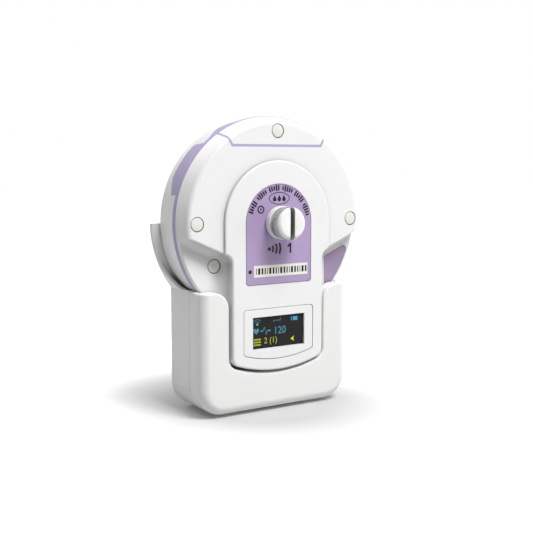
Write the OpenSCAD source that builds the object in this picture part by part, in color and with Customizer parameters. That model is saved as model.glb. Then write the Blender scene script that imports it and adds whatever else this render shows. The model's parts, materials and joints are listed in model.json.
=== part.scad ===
// Wireless fetal heart transducer standing in its charging dock.
// Millimetres, Z up. The front faces -Y, and the origin is the centre of the foot on the table.
// Depths are measured backwards from the front face of the stem, heights from the disc's axis.

/* [Transducer disc] */
// Radius of the flat front face
face_r = 38.4; // [37:0.2:39.2]
// Radius of the disc at its rim band
rim_r = 40.5; // [40:0.1:42]
// Radius of the disc at its back edge
back_r = 39.1; // [38.4:0.1:39.6]
// Radius of the rounding between the face and the side
edge_r = 1.8; // [1:0.1:2.4]
// Depth of the disc's back behind the stem's face
disc_back = 24.3; // [23.6:0.1:27]
// Wall of the disc's shells
shell_wall = 1.8; // [1.4:0.1:2]
// How far the plateau stands proud of the disc's face
plateau_h = 1.1; // [0.8:0.1:1.5]
// Half width of the arched plateau
plateau_r = 23.8; // [22.5:0.1:25]

/* [Rim band] */
// Depth of the rim band's front edge
band_front = 7.7; // [7.5:0.1:8.2]
// Width of the rim band
band_w = 2.3; // [1.8:0.1:2.8]
// Thickness of the soft band over the shell
band_t = 1.2; // [0.8:0.1:1.3]
// Thickness of the soft band between the shells
band_root_t = 2.2; // [1.8:0.1:2.4]
// How far the soft band stands proud of the shell
band_proud = 0.12; // [0.05:0.01:0.2]
// Depth of the back edge of the grip pads
grip_back = 19; // [16:0.2:20]
// Direction of the middle of a grip pad, up from the horizontal
grip_angle = 31.8; // [28:0.2:34]
// Half length of a grip pad along the rim
grip_half = 11.3; // [8:0.1:12]
// Depth of a grip pad's back edge at its lower end
grip_low = 14.7; // [12:0.1:16]
// Length of the slant at a grip pad's lower end
grip_slant = 7.3; // [5:0.1:8]
// Depth of the back edge of the band behind the cap
crown_back = 17; // [14:0.2:20]
// Half width of the band's wide part behind the cap
crown_half = 17.5; // [14:0.5:20]
// Length of the slopes at that part's ends
crown_slant = 7.6; // [6:0.2:8]

/* [Stem] */
// Half width of the stem
stem_half = 20.6; // [18.5:0.1:21.5]
// Lowest point of the stem below the disc's axis
stem_drop = 57.5; // [56.6:0.1:64]
// Radius of the stem's bowed bottom
stem_bow = 56.1; // [50:0.5:70]
// Radius of the stem's lower corners
stem_corner = 3.4; // [2.5:0.1:5]
// Thickness of the stem
stem_depth = 17; // [16:0.1:18]

/* [Lower side steps] */
// Depth of the step's floor
step_depth = 6.2; // [5.8:0.1:6.6]
// Height of the step's edge line where it would reach the stem's side, below the axis
step_drop = 12.5; // [11.5:0.1:13.5]
// Slope of the step's edge line
step_slope = 23.9; // [20:0.1:26]
// Radius of the step's inner corner
step_corner = 4; // [2:0.1:6]

/* [Top cap] */
// Height of the cap's straight edge above the axis
cap_z = 29.3; // [28:0.1:30]
// Half length of the cap's straight edge
cap_half = 20; // [16:0.1:22]
// Slope of the cap's ends
cap_slope = 61; // [50:1:75]
// Width of the trim strip round the cap
trim_w = 0.95; // [0.6:0.05:1.2]

/* [Screws and plugs] */
// Distance of the three outer screws inside the edge of the front face
screw_in = 3.5; // [3.2:0.1:3.9]
// Height of the two side screws above the axis
side_screw_z = 0.4; // [0:0.1:1]
// Sideways place of the lower left screw
low_screw_x = 25.3; // [24.9:0.1:26]
// Height of the lower left screw below the axis
low_screw_drop = 16; // [15.8:0.1:17]
// Sideways place of the screw under the badge
badge_screw_x = 30; // [29:0.1:30.5]
// Height of the screw under the badge, below the axis
badge_screw_drop = 17.5; // [17:0.1:19]
// Diameter of a plug
plug_d = 5; // [4.4:0.1:5.2]
// Thickness of a plug
plug_t = 0.8; // [0.6:0.1:0.9]
// Groove round a plug
plug_gap = 0.15; // [0.1:0.05:0.25]
// Diameter of a screw's shank
screw_d = 2; // [1.8:0.1:2.2]
// Diameter of a screw's head
screw_head_d = 3.6; // [3.2:0.1:3.8]
// Thickness of a screw's head
screw_head_t = 1.3; // [1:0.1:1.4]
// Length of the three outer screws' shanks
screw_l = 12; // [10:0.5:14]
// Length of the two lower screws' shanks
low_screw_l = 8; // [7:0.5:10]
// Outer diameter of a screw boss
boss_d = 5.8; // [5.4:0.1:6]
// Thickness of a lower screw's seat
seat_t = 1.2; // [1:0.1:1.4]

/* [Label and badge] */
// Half width and arch radius of the label
label_r = 14.95; // [14:0.05:16]
// Bottom of the label below the axis
label_drop = 23.7; // [22:0.1:25]
// Radius of the label's lower corners
label_corner = 1.3; // [0.8:0.1:2]
// Thickness of the label, badge and strip sheets
sheet_t = 0.3; // [0.2:0.05:0.4]
// Width of the blank strip on the label
strip_w = 24.6; // [20:0.1:25]
// Height of the blank strip
strip_h = 4.5; // [3:0.1:5]
// Sideways place of the blank strip's middle
strip_x = 0.9; // [0:0.1:1.2]
// Middle of the blank strip below the axis
strip_drop = 18.4; // [17:0.1:19]
// Sideways place of the badge's upright edge
badge_x = 25.6; // [25:0.1:27]
// Distance of the badge's upper edge below the step's edge line
badge_drop = 4.6; // [4:0.1:6]
// Outer radius of the badge round the axis
badge_r = 39; // [38.4:0.1:39.3]
// Radius of the badge's corners
badge_corner = 1.9; // [1:0.1:2.4]
// How far the button's flange covers the label round its hole
label_cover = 0.8; // [0.5:0.1:1.2]

/* [Display] */
// Half width of the display frame
frame_half = 16.05; // [15:0.05:16.5]
// Top of the display frame above its lowest point
frame_top = 20.25; // [20:0.05:22]
// Drop from the display frame's lowest point to the stem's
frame_drop = 4.4; // [4.2:0.1:5.6]
// Radius of the frame's bowed bottom
frame_bow = 50.9; // [45:0.1:60]
// Radius of the frame's corners
frame_corner = 1.5; // [1:0.1:2.5]
// Gap round the display frame
frame_gap = 0.2; // [0.1:0.05:0.3]
// Thickness of the display frame
frame_t = 1.3; // [1.2:0.1:1.4]
// Width of the window
window_w = 23.75; // [20:0.05:24]
// Height of the window
window_h = 12.45; // [10:0.05:12.8]
// Top of the window below the top of the frame
window_top = 3.25; // [2.2:0.05:3.5]
// Depth of the window's front behind the frame's front
window_sink = 0.9; // [0.6:0.1:1]
// Thickness of the window
window_t = 1.2; // [0.8:0.1:1.4]
// How far the window reaches behind the frame
window_lip = 0.7; // [0.5:0.1:0.9]
// Width of the display panel
panel_w = 26.7; // [25:0.1:27]
// Height of the display panel
panel_h = 19.3; // [15:0.1:19.6]
// Thickness of the display panel
panel_t = 1.45; // [1:0.05:1.6]
// How far the panel's middle is below the window's middle
panel_shift = 1; // [0.5:0.1:1.2]
// Width of the panel's thin ledge for its own cable
ledge_w = 16; // [12:1:20]
// Height of the panel's thin ledge
ledge_h = 1.5; // [1:0.1:2]
// Width of the board behind the display
display_board_w = 34.6; // [30:0.1:35]
// Height of the board behind the display
display_board_h = 18.3; // [16:0.1:18.8]
// Clearance of that board's lower corners above the stem's wall
display_board_up = 0.4; // [0.3:0.05:1]
// Thickness of the circuit boards
board_t = 1; // [0.8:0.1:1.2]

/* [Belt button] */
// Radius of the button's head and of its flange
button_r = 6.4; // [5.8:0.1:7]
// Thickness of the flange
flange_t = 3; // [2:0.1:3.4]
// Radius of the neck that the belt's eyelet sits on
neck_r = 3.8; // [3.4:0.1:4.2]
// Length of the neck between the flange and the head
neck_l = 2.75; // [2:0.05:4]
// Thickness of the head's ribbed edge
head_t = 2.3; // [1.8:0.1:3]
// Height of the head's domed front
dome_h = 1.3; // [0.8:0.1:1.8]
// Radius of the flat at the middle of the head
flat_r = 4.6; // [3.5:0.1:5]
// Width of the coin slot
slot_w = 2; // [1.4:0.1:2.4]
// Depth of the coin slot
slot_depth = 1.6; // [1:0.1:2]
// Number of ribs round the head
rib_count = 48; // [36:1:60]
// Depth of a rib's groove
rib_depth = 0.15; // [0.1:0.01:0.2]
// Radius of the button's threaded stud
stud_r = 2; // [1.8:0.05:2.2]
// Length of the stud inside the insert
stud_l = 6; // [5:0.1:6.4]
// Running clearance of the stud in the insert
stud_clear = 0.05; // [0.03:0.01:0.08]
// Wall of the threaded insert
insert_wall = 1; // [0.8:0.1:1.2]
// Wall of the boss round the insert
boss_wall = 1.4; // [1:0.1:1.8]
// Gap between the flange and the front face
flange_gap = 0.3; // [0.3:0.05:0.4]
// Thickness of the seal ring under the flange
seal_t = 0.8; // [0.6:0.1:0.9]

/* [Inside the transducer] */
// Radius of the main board
board_r = 31; // [28:0.5:31.5]
// Depth of the main board's front
board_depth = 9.4; // [9.3:0.1:10]
// Width of a chip on the boards
chip_w = 8; // [6:0.5:9]
// Thickness of a chip
chip_t = 1; // [0.8:0.1:1.1]
// Width of the flat cable
ribbon_w = 8; // [6:0.5:10]
// Thickness of the flat cable
ribbon_t = 0.2; // [0.15:0.05:0.3]
// Width of the battery
battery_w = 38; // [34:1:40]
// Height of the battery
battery_h = 26; // [24:1:28]
// Height of the battery's middle above the axis
battery_mid = 2; // [0:0.5:3]
// Thickness of the battery
battery_t = 4.6; // [4:0.1:5]
// Radius of one crystal
crystal_r = 5; // [4:0.1:5.4]
// Thickness of a crystal
crystal_t = 1.6; // [1.2:0.1:2]
// Radius of the ring of crystals
crystal_ring = 19; // [18:0.5:20]
// Thickness of the crystal carrier
carrier_t = 3; // [2.6:0.1:3.4]

/* [Dock] */
// Height of the disc's axis above the dock's top
axis_over_dock = 25.5; // [24:0.1:27]
// How far the stem stands proud of the dock's face
stem_proud = 0.9; // [0.5:0.1:1.4]
// Gap between the stem and the dock's cut-out
cut_gap = 1.1; // [0.8:0.1:1.4]
// Height of the dock below the cut-out
chin_h = 14.45; // [14:0.05:18]
// Radius at the cut-out's upper corners
cut_corner = 6.4; // [4:0.1:7.5]
// Clearance round the transducer inside the dock
pocket_gap = 0.4; // [0.3:0.05:0.6]
// Wall of the pocket that holds the transducer
tub_wall = 1.6; // [1.2:0.1:2]
// Wall of the dock's shells
dock_wall = 2; // [1.6:0.1:2.2]
// Thickness of the dock's front lip over the pocket
lip_t = 4.2; // [3.6:0.1:4.4]
// Depth of the parting line between the dock's shells
split_depth = 10.8; // [10:0.1:12]
// Radius of the dock's upright front edges
dock_edge = 3.8; // [2.5:0.1:4.5]
// Radius of the dock's upright back edges
dock_back_edge = 2.4; // [1.5:0.1:3]
// Radius of the dock's lower corners
dock_corner = 10; // [8:0.1:11]
// Thickness of the backrest
backrest_t = 2; // [1.6:0.1:2.4]
// Wall of the backrest's rim over the pocket's radius
backrest_rim = 1.4; // [1:0.1:2]
// Top of the backrest below the axis
backrest_drop = 0.4; // [0:0.1:4]
// How far the backrest's cheeks reach forwards
cheek_l = 10; // [6:0.2:11]
// How far the cheeks rise above the dock's top
cheek_h = 13.4; // [8:0.2:15]

/* [Foot, ballast and electronics] */
// Width of the foot pad
foot_w = 33; // [30:1:40]
// Length of the foot pad from front to back
foot_l = 15.4; // [14:0.2:18]
// How far the foot stands below the dock
foot_proud = 1; // [0.6:0.1:1.4]
// How deep the foot is set into the dock
foot_sink = 0.8; // [0.5:0.1:1]
// Width of the ballast plate
ballast_w = 30; // [24:1:32]
// Length of the ballast plate from front to back
ballast_l = 18; // [12:1:19]
// Thickness of the ballast plate
ballast_t = 3; // [2:0.1:3.4]
// Width of the dock's board
dock_board_w = 44; // [42:1:50]
// Length of the dock's board from front to back
dock_board_l = 15; // [14:0.5:16]
// Height of the dock's board above the bay's floor
dock_board_up = 4.6; // [4.2:0.1:4.8]
// Sideways place of the posts under the dock's board
post_x = 19; // [18:0.5:20]
// Diameter of a dock screw's shank
dock_screw_d = 2.4; // [2:0.1:2.6]
// Diameter of a dock screw's head
dock_head_d = 4.2; // [3.8:0.1:4.4]
// Thickness of a dock screw's head
dock_head_t = 1.6; // [1.4:0.1:1.8]
// Length of a dock screw's shank
dock_screw_l = 11; // [9:0.5:12]
// Depth of the seat under a dock screw's head
dock_seat = 17; // [16:0.2:19]
// Sideways place of the dock screws
dock_screw_x = 27.2; // [26.8:0.1:27.6]
// Height of the lower dock screws
dock_screw_low = 13; // [12:0.5:15]
// Height of the upper dock screws
dock_screw_high = 32; // [29:0.5:34]
// Radius of a post under the dock's board
post_r = 2.2; // [1.8:0.1:2.6]
// Radius of a post's peg through the board
peg_r = 0.9; // [0.7:0.1:1.1]

/* [Charging contacts] */
// Sideways place of a charging contact
contact_x = 5; // [4:0.1:7]
// Depth of the contacts behind the stem's face
contact_depth = 13.4; // [13.4:0.1:13.6]
// Radius of a contact pad on the stem
pad_r = 1.8; // [1.5:0.1:1.9]
// Thickness of a contact pad
pad_t = 1.4; // [1:0.1:1.6]
// How far a pad is set into the stem's underside
pad_sink = 0.2; // [0.1:0.05:0.3]
// Length of the contact block from front to back
block_l = 4.8; // [4.4:0.1:4.8]
// Radius of a contact pin's tip
pin_tip_r = 0.9; // [0.7:0.05:1]
// Radius of a contact pin's shoulder
pin_r = 1.3; // [1.2:0.05:1.4]
// Thickness of a contact pin's shoulder
shoulder_h = 1; // [0.8:0.1:1.2]
// Running clearance of a contact pin
pin_clear = 0.08; // [0.05:0.01:0.1]
// Further travel of a contact pin when pressed
pin_travel = 0.8; // [0.5:0.1:1]
// Gap between a resting pin and its pad
pin_gap = 0.1; // [0.05:0.05:0.2]
// Turns of a contact spring
spring_turns = 6; // [4:1:8]
// Thickness of a contact spring's wire
spring_wire = 0.25; // [0.2:0.05:0.3]
// Width of the power socket's shell
socket_w = 8.9; // [8.5:0.1:9.2]
// Height of the power socket's shell
socket_h = 3.2; // [3:0.1:3.4]
// Length of the power socket
socket_l = 7.3; // [6:0.1:7.5]
// Wall of the power socket's shell
socket_wall = 0.3; // [0.2:0.05:0.4]
// Width of the tongue inside the power socket
tongue_w = 6.6; // [6.2:0.1:6.9]
// Thickness of the tongue
tongue_t = 0.7; // [0.6:0.05:0.8]

/* [Hidden] */
fine = 96;
mid = 48;
small = 32;
// A short overlap that makes cuts run past a face, and a length beyond the whole part
over = 1;
far = 60;
// Clearance between assembled pieces, in a loose hole round a screw, and in a screw's thread
fit = 0.1;
loose = 0.2;
thread_fit = 0.05;
band_back = band_front + band_w;
pocket_r = rim_r + pocket_gap;
dock_half = sqrt(pow(pocket_r, 2) - pow(axis_over_dock, 2)) + tub_wall;
backrest_r = pocket_r + backrest_rim;
backrest_front = disc_back + pocket_gap;
dock_back = backrest_front + backrest_t;
dock_depth = dock_back - stem_proud;
stem_y = -dock_depth / 2 - stem_proud;
axis_z = foot_proud + chin_h + cut_gap + stem_drop;
bay_floor = foot_proud + dock_wall;
stem_zc = stem_bow - stem_drop;
frame_low = stem_drop - frame_drop;
frame_high = frame_low - frame_top;
frame_zc = frame_bow - frame_low;
window_mid = -(frame_high + window_top + window_h / 2);
insert_r = stud_r + stud_clear + insert_wall;
insert_back = board_depth - 0.5;
tongue_r = rim_r - band_root_t;
back_edge = 2;
back_lean = 15;
face_lean = 0.6;
pad_round = 0.8;
pad_corner = 2;
band_clip = 30;
dock_boss_wall = 0.9;
post_y = 4;
post_depth = post_y - stem_y;
connector_up = 8;
ribbon_end = connector_up - board_r;
stem_top = 10;
socket_sink = 0.3;
pin_roof = 1.4;
spring_floor = 0.6;
white = "#F2F2F1";
lilac = "#A79FC0";
steel = "#B9BCC0";
green = "#2F6B4A";

// Points along an arc, from angle a0 to a1
function arc(cx, cz, r, a0, a1, n) =
    [for (i = [0:n]) let (a = a0 + (a1 - a0) * i / n) [cx + r * cos(a), cz + r * sin(a)]];

// Outline with upright sides, a bottom that bows down and rounded lower corners
function bowed(half, top, r, zc, c) =
    let (fx = half - c, fz = zc - sqrt(pow(r - c, 2) - pow(fx, 2)), a = atan2(fz - zc, fx))
    concat([[-half, top], [half, top]], arc(fx, fz, c, 0, a, 8),
        [for (i = [1:23]) let (b = a - (180 + 2 * a) * i / 24) [r * cos(b), zc + r * sin(b)]],
        arc(-fx, fz, c, -180 - a, -180, 8));

// The stem's outline, grown by g, up to a given height
function stem_line(g, top = -stem_top) =
    bowed(stem_half + g, top, stem_bow + g, stem_zc, stem_corner + g);

// Region on the right that lies below a sloping line and outside an upright one
function step_line(x0, z0, c) =
    let (cx = x0 + c, cz = z0 + c * tan(step_slope) - c / cos(step_slope))
    concat(arc(cx, cz, c, 180, 90 + step_slope, 10),
        [[x0 + far, z0 + far * tan(step_slope)], [x0 + far, -far], [x0, -far]]);

// The step's region, grown by g
function step_region(g) = step_line(stem_half - g,
    -step_drop + g / cos(step_slope) - g * tan(step_slope), step_corner + g);

// The cap's region, shrunk by g
function cap_region(g) =
    let (xe = cap_half - g / tan((180 - cap_slope) / 2), up = 20,
        xt = xe + up / tan(cap_slope), z0 = cap_z + g)
    [[-xe, z0], [xe, z0], [xt, z0 + up], [-xt, z0 + up]];

// The label's outline, shrunk by g
function label_line(g) =
    let (r = label_r - g, b = -label_drop + g, c = label_corner)
    concat(arc(0, 0, r, 0, 180, 40), arc(-r + c, b + c, c, 180, 270, 6),
        arc(r - c, b + c, c, 270, 360, 6));

// Profile of the disc's outside from the face to the band
front_profile = concat([[0, plateau_h]],
    arc(face_r - edge_r + face_lean, plateau_h + edge_r, edge_r, -90, -back_lean, 8),
    [[rim_r, band_front], [0, band_front]]);
rear_profile = concat([[0, band_back], [rim_r, band_back]],
    arc(back_r - back_edge, disc_back - back_edge, back_edge, back_lean, 90, 8),
    [[0, disc_back]]);

// Places of the screws on the disc, seen from the front
screw_r = face_r - screw_in;
outer_screws = [[0, screw_r], [-screw_r, side_screw_z], [screw_r, side_screw_z]];
lower_screws = [[-low_screw_x, -low_screw_drop], [badge_screw_x, -badge_screw_drop]];

// The transducer's own frame: the disc's axis on the stem's front face
module on_axis() translate([0, stem_y, axis_z]) children();

// Stand a flat outline upright, from depth d0 to d1
module upright(d0, d1) translate([0, d1, 0]) rotate([90, 0, 0]) linear_extrude(d1 - d0) children();

// Spin a profile of radius and depth about the disc's axis
module spun(n = fine) rotate([-90, 0, 0]) rotate_extrude($fn = n) children();

// A round bar along the depth
module bar(x, z, r, d0, d1, n = small)
    translate([x, d0, z]) rotate([-90, 0, 0]) cylinder(r = r, h = d1 - d0, $fn = n);

// A box given by its middle, width, height and depths
module slab(x, z, w, h, d0, d1) translate([x - w / 2, d0, z - h / 2]) cube([w, d1 - d0, h]);

module both_sides() {
    children();
    mirror([1, 0, 0]) children();
}

module steps(g, d0, d1) both_sides() upright(d0, d1) polygon(step_region(g));

// Hole for a plug and a screw through the transducer's front, at a face of depth f
module front_hole(s, f, d1) {
    bar(s[0], s[1], plug_d / 2 + plug_gap, f - over, f + plug_t + fit);
    bar(s[0], s[1], screw_head_d / 2 + loose, f - over, head_seat(f));
    bar(s[0], s[1], screw_d / 2 + loose, f - over, d1);
}

// Depth of the seat under a screw's head, below a face at depth f
function head_seat(f) = f + plug_t + 2 * fit + screw_head_t;
low_boss_back = head_seat(step_depth) + seat_t;

// Outside of the transducer's front half
module front_body() {
    spun() polygon(front_profile);
    upright(0, plateau_h + over) union() {
        circle(r = plateau_r, $fn = fine);
        translate([-plateau_r, -stem_half]) square([2 * plateau_r, stem_half]);
    }
    upright(0, band_front) polygon(stem_line(0));
}

// Space inside the transducer's front half
module front_room() difference() {
    union() {
        bar(0, 0, face_r - shell_wall, plateau_h + shell_wall, band_front + over, fine);
        upright(shell_wall, band_front + over) polygon(stem_line(-shell_wall));
    }
    steps(shell_wall, 0, step_depth + shell_wall);
}

module front_shell() color(white) on_axis() difference() {
    union() {
        difference() {
            front_body();
            front_room();
        }
        bar(0, 0, insert_r + boss_wall, shell_wall / 2, board_depth - fit);
        for (s = [outer_screws[1], outer_screws[2]])
            bar(s[0], s[1], boss_d / 2, plateau_h + shell_wall / 2, band_front);
        for (s = lower_screws) bar(s[0], s[1], boss_d / 2, step_depth, low_boss_back);
        difference() {
            upright(plateau_h, band_front) polygon(cap_region(-trim_w / 2 - shell_wall));
            spun() polygon([[face_r - shell_wall, 0], [far, 0], [far, far],
                [face_r - shell_wall, far]]);
        }
    }
    steps(0, -over, step_depth);
    upright(-over, band_front + over) polygon(cap_region(-trim_w / 2));
    for (s = outer_screws) front_hole(s, plateau_h, band_front + over);
    for (s = lower_screws) front_hole(s, step_depth, low_boss_back + over);
    upright(-over, sheet_t) polygon(label_line(0));
    upright(-over, frame_t) polygon(frame_line(0));
    bar(0, 0, insert_r, -over, insert_back);
    window_slab(window_lip + 2 * fit, 0, shell_wall + over);
}

// The window's rectangle, grown by g, between two depths
module window_slab(g, d0, d1) slab(0, window_mid, window_w + 2 * g, window_h + 2 * g, d0, d1);

// The display frame's outline, shrunk by g
function frame_line(g) =
    let (w = frame_half - g, c = frame_corner, t = -frame_high - g,
        low = bowed(w, t - c, frame_bow - g, frame_zc, c))
    concat(arc(-w + c, t - c, c, 180, 90, 6), arc(w - c, t - c, c, 90, 0, 6),
        [for (i = [2:len(low) - 1]) low[i]]);

// Outer skin of the rear half that the soft band lies on
module band_skin(t) spun() polygon(concat([[rim_r - t, band_back - fit],
    [rim_r + band_proud, band_back - fit], [rim_r + band_proud, band_back]],
    arc(back_r - back_edge, disc_back - back_edge, back_edge + band_proud, back_lean, 2 * back_lean, 2),
    [[back_r - t, disc_back - back_edge]]));

// Places on the skin where the band is wide: two grips, and the crown behind the cap
module wide_band() intersection() {
    band_skin(band_t);
    union() {
        both_sides() rotate([0, grip_angle - 90, 0]) translate([0, 0, rim_r / 2])
            linear_extrude(rim_r) polygon([[-grip_half, band_front], [-grip_half, grip_low],
                [-grip_half + grip_slant, grip_back], [grip_half - pad_round, grip_back],
                [grip_half, grip_back - pad_round], [grip_half, band_front]]);
        translate([0, 0, rim_r / 2]) linear_extrude(rim_r) polygon([
            [-crown_half - crown_slant, band_front], [-crown_half - crown_slant, band_back],
            [-crown_half, crown_back], [crown_half, crown_back],
            [crown_half + crown_slant, band_back], [crown_half + crown_slant, band_front]]);
    }
}

module rim_band() color(lilac) on_axis() {
    difference() {
        spun() polygon([[tongue_r, band_front], [rim_r + band_proud, band_front],
            [rim_r + band_proud, band_back], [tongue_r, band_back]]);
        upright(0, disc_back) polygon(stem_line(thread_fit, -band_clip));
    }
    wide_band();
}

// Space inside the transducer's rear half
module rear_room() {
    bar(0, 0, back_r - shell_wall, band_front - over, disc_back - shell_wall, fine);
    upright(band_front - over, stem_depth - shell_wall) polygon(stem_line(-shell_wall, -band_clip));
}

module rear_shell() color(white) on_axis() difference() {
    union() {
        difference() {
            union() {
                spun() polygon(rear_profile);
                bar(0, 0, tongue_r, band_front, band_back + over, fine);
                upright(band_front, stem_depth) polygon(stem_line(0, -band_clip));
            }
            rear_room();
            for (s = lower_screws)
                bar(s[0], s[1], boss_d / 2 + fit, band_front - over, low_boss_back + fit);
        }
        for (s = outer_screws) bar(s[0], s[1], boss_d / 2, band_front, disc_back - shell_wall / 2);
        for (s = lower_screws)
            bar(s[0], s[1], boss_d / 2, low_boss_back + fit, disc_back - shell_wall / 2);
    }
    for (s = outer_screws)
        bar(s[0], s[1], screw_d / 2 + thread_fit, 0, head_seat(plateau_h) + screw_l + over);
    for (s = lower_screws)
        bar(s[0], s[1], screw_d / 2 + thread_fit, 0, head_seat(step_depth) + low_screw_l + over);
    both_sides() pad_hole();
    wide_band();
}

// Hole in the stem's underside for a contact pad
module pad_hole() translate([contact_x, contact_depth, -stem_drop - over])
    cylinder(r = pad_r, h = shell_wall + 3 * over, $fn = small);

module top_cap() color(white) on_axis() difference() {
    intersection() {
        spun() polygon(front_profile);
        upright(-over, band_front + over) polygon(cap_region(trim_w / 2));
    }
    difference() {
        intersection() {
            bar(0, 0, face_r - shell_wall, plateau_h + shell_wall, band_front + over, fine);
            upright(0, far) polygon(cap_region(trim_w / 2 + shell_wall));
        }
        bar(outer_screws[0][0], outer_screws[0][1], boss_d / 2, 0, far);
    }
    front_hole(outer_screws[0], plateau_h, band_front + over);
}

module cap_trim() color(lilac) on_axis() difference() {
    intersection() {
        spun() polygon(front_profile);
        upright(-over, band_front + over) polygon(cap_region(-trim_w / 2));
    }
    upright(-over, band_front + over) polygon(cap_region(trim_w / 2));
}

module screw_plugs() color("#E9E8E2") on_axis() {
    for (s = outer_screws) bar(s[0], s[1], plug_d / 2, plateau_h, plateau_h + plug_t);
    bar(lower_screws[0][0], lower_screws[0][1], plug_d / 2, step_depth, step_depth + plug_t);
}

// Share of a screw's head that each arm of its cross slot takes, in length and in width
cross_l = 0.55;
cross_w = 0.12;

// A pan-head screw with its head's seat at depth d and a shank of length l
module screw(x, z, d, l, shank_d, head_d, head_t) {
    bar(x, z, shank_d / 2, d - fit, d + l);
    difference() {
        bar(x, z, head_d / 2, d - head_t, d);
        slab(x, z, head_d * cross_l, head_d * cross_w, d - head_t - over, d - head_t / 2);
        slab(x, z, head_d * cross_w, head_d * cross_l, d - head_t - over, d - head_t / 2);
    }
}

module shell_screws() color(steel) on_axis() {
    for (s = outer_screws)
        screw(s[0], s[1], head_seat(plateau_h), screw_l, screw_d, screw_head_d, screw_head_t);
    for (s = lower_screws)
        screw(s[0], s[1], head_seat(step_depth), low_screw_l, screw_d, screw_head_d, screw_head_t);
}

module label_plate() color("#B59FC8") on_axis() difference() {
    upright(0, sheet_t) polygon(label_line(0));
    bar(0, 0, button_r - label_cover, -over, sheet_t + over);
    slab(strip_x, -strip_drop, strip_w, strip_h, -over, sheet_t / 2);
}

module blank_strip() color("#F4F3EE") on_axis()
    slab(strip_x, -strip_drop, strip_w, strip_h, 0, sheet_t / 2);

module side_badge() color("#9C86AC") on_axis() upright(step_depth - sheet_t, step_depth)
    offset(r = badge_corner, $fn = small) offset(delta = -badge_corner) intersection() {
        polygon(step_line(badge_x,
            -step_drop + (badge_x - stem_half) * tan(step_slope) - badge_drop, badge_corner / 4));
        circle(r = badge_r, $fn = fine);
    }

module display_frame() color(white) on_axis() difference() {
    upright(0, frame_t) polygon(frame_line(frame_gap));
    window_slab(0, -over, frame_t + over);
    window_slab(window_lip + fit, window_sink, frame_t + over);
}

module display_window() color("#1C1C1E") on_axis()
    window_slab(window_lip, window_sink, window_sink + window_t);

panel_depth = window_sink + window_t + fit;
panel_mid = window_mid - panel_shift;

module display_panel() color("#3A3D42") on_axis() difference() {
    slab(0, panel_mid, panel_w, panel_h, panel_depth, panel_depth + panel_t);
    slab(0, panel_mid - panel_h / 2, ledge_w, 2 * ledge_h, panel_depth - over, panel_depth + panel_t / 2);
}

display_board_depth = panel_depth + panel_t + fit;
// The board stands just above the stem's bowed wall at its lower corners
display_board_low = stem_zc - sqrt(pow(stem_bow - shell_wall, 2) - pow(display_board_w / 2, 2))
    + display_board_up;
display_board_mid = display_board_low + display_board_h / 2;

module display_board() color(green) on_axis() {
    d0 = display_board_depth;
    slab(0, display_board_mid, display_board_w, display_board_h, d0, d0 + board_t);
    slab(0, display_board_mid, chip_w, chip_w, d0 + board_t, d0 + board_t + chip_t);
}

// Flat cable from the display's board up to the main board
module board_ribbon() color("#C98A3A") on_axis() {
    tab = 2;
    rise = 6;
    low = display_board_low + display_board_h - tab;
    d0 = display_board_depth + board_t;
    d1 = board_depth - fit;
    t = ribbon_t;
    translate([-ribbon_w / 2, 0, 0]) rotate([90, 0, 90]) linear_extrude(ribbon_w) polygon([
        [d0, low - tab], [d0, low], [d1 - t, low + rise], [d1 - t, ribbon_end], [d1, ribbon_end],
        [d1, low + rise - t], [d0 + t, low - t], [d0 + t, low - tab]]);
}

module main_board() color(green) on_axis() {
    connector = [ribbon_w + 2, 3];
    difference() {
        bar(0, 0, board_r, board_depth, board_depth + board_t, fine);
        for (s = lower_screws) bar(s[0], s[1], boss_d / 2 + loose, 0, disc_back);
    }
    front = board_depth - chip_t;
    both_sides() slab(3 / 2 * chip_w, board_r / 2, chip_w, chip_w, front, board_depth);
    slab(0, ribbon_end + fit + connector[1] / 2, connector[0], connector[1], front, board_depth);
}

battery_depth = board_depth + board_t + loose;

module battery() color("#8FA3B8") on_axis()
    slab(0, battery_mid, battery_w, battery_h, battery_depth, battery_depth + battery_t);

carrier_back = disc_back - shell_wall;
crystal_places = concat([[0, 0]], [for (i = [0:5]) crystal_ring * [sin(60 * i), cos(60 * i)]]);

module crystal_carrier() color("#D8CFAE") on_axis() difference() {
    bar(0, 0, back_r - shell_wall - loose, carrier_back - carrier_t, carrier_back, fine);
    for (s = concat(outer_screws, lower_screws)) bar(s[0], s[1], boss_d / 2 + loose, 0, disc_back);
    for (c = crystal_places)
        bar(c[0], c[1], crystal_r + fit, carrier_back - crystal_t - fit, disc_back);
}

module crystals() color("#C9B37A") on_axis()
    for (c = crystal_places) bar(c[0], c[1], crystal_r, carrier_back - crystal_t, carrier_back);

// Height of the stem's bowed underside at the contacts
stem_under = stem_zc - sqrt(pow(stem_bow, 2) - pow(contact_x, 2));
pad_under = stem_under + pad_sink;

module charge_pads() color("#D9B45A") on_axis() both_sides()
    translate([contact_x, contact_depth, pad_under]) cylinder(r = pad_r, h = pad_t, $fn = small);

module stud_insert() color("#C8A24A") on_axis() difference() {
    bar(0, 0, insert_r, seal_t + 3 * fit, insert_back);
    bar(0, 0, stud_r + stud_clear, 0, board_depth);
}

// Seal ring that sits on the stud, in the mouth of the insert's bore
module button_seal() color("#4A4A4C") on_axis() difference() {
    bar(0, 0, insert_r - fit, 0, seal_t);
    bar(0, 0, stud_r + stud_clear, -over, seal_t + over);
}

button_front = flange_t + neck_l + head_t + dome_h;
dome_r = button_r - 2 * rib_depth;

// Outline of the head's ribbed edge
rib_line = [for (i = [0:2 * rib_count - 1], e = [0, 1])
    let (r = i % 2 == 0 ? button_r : button_r - rib_depth, a = (i + e) * 180 / rib_count)
    [r * cos(a), r * sin(a)]];

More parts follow.
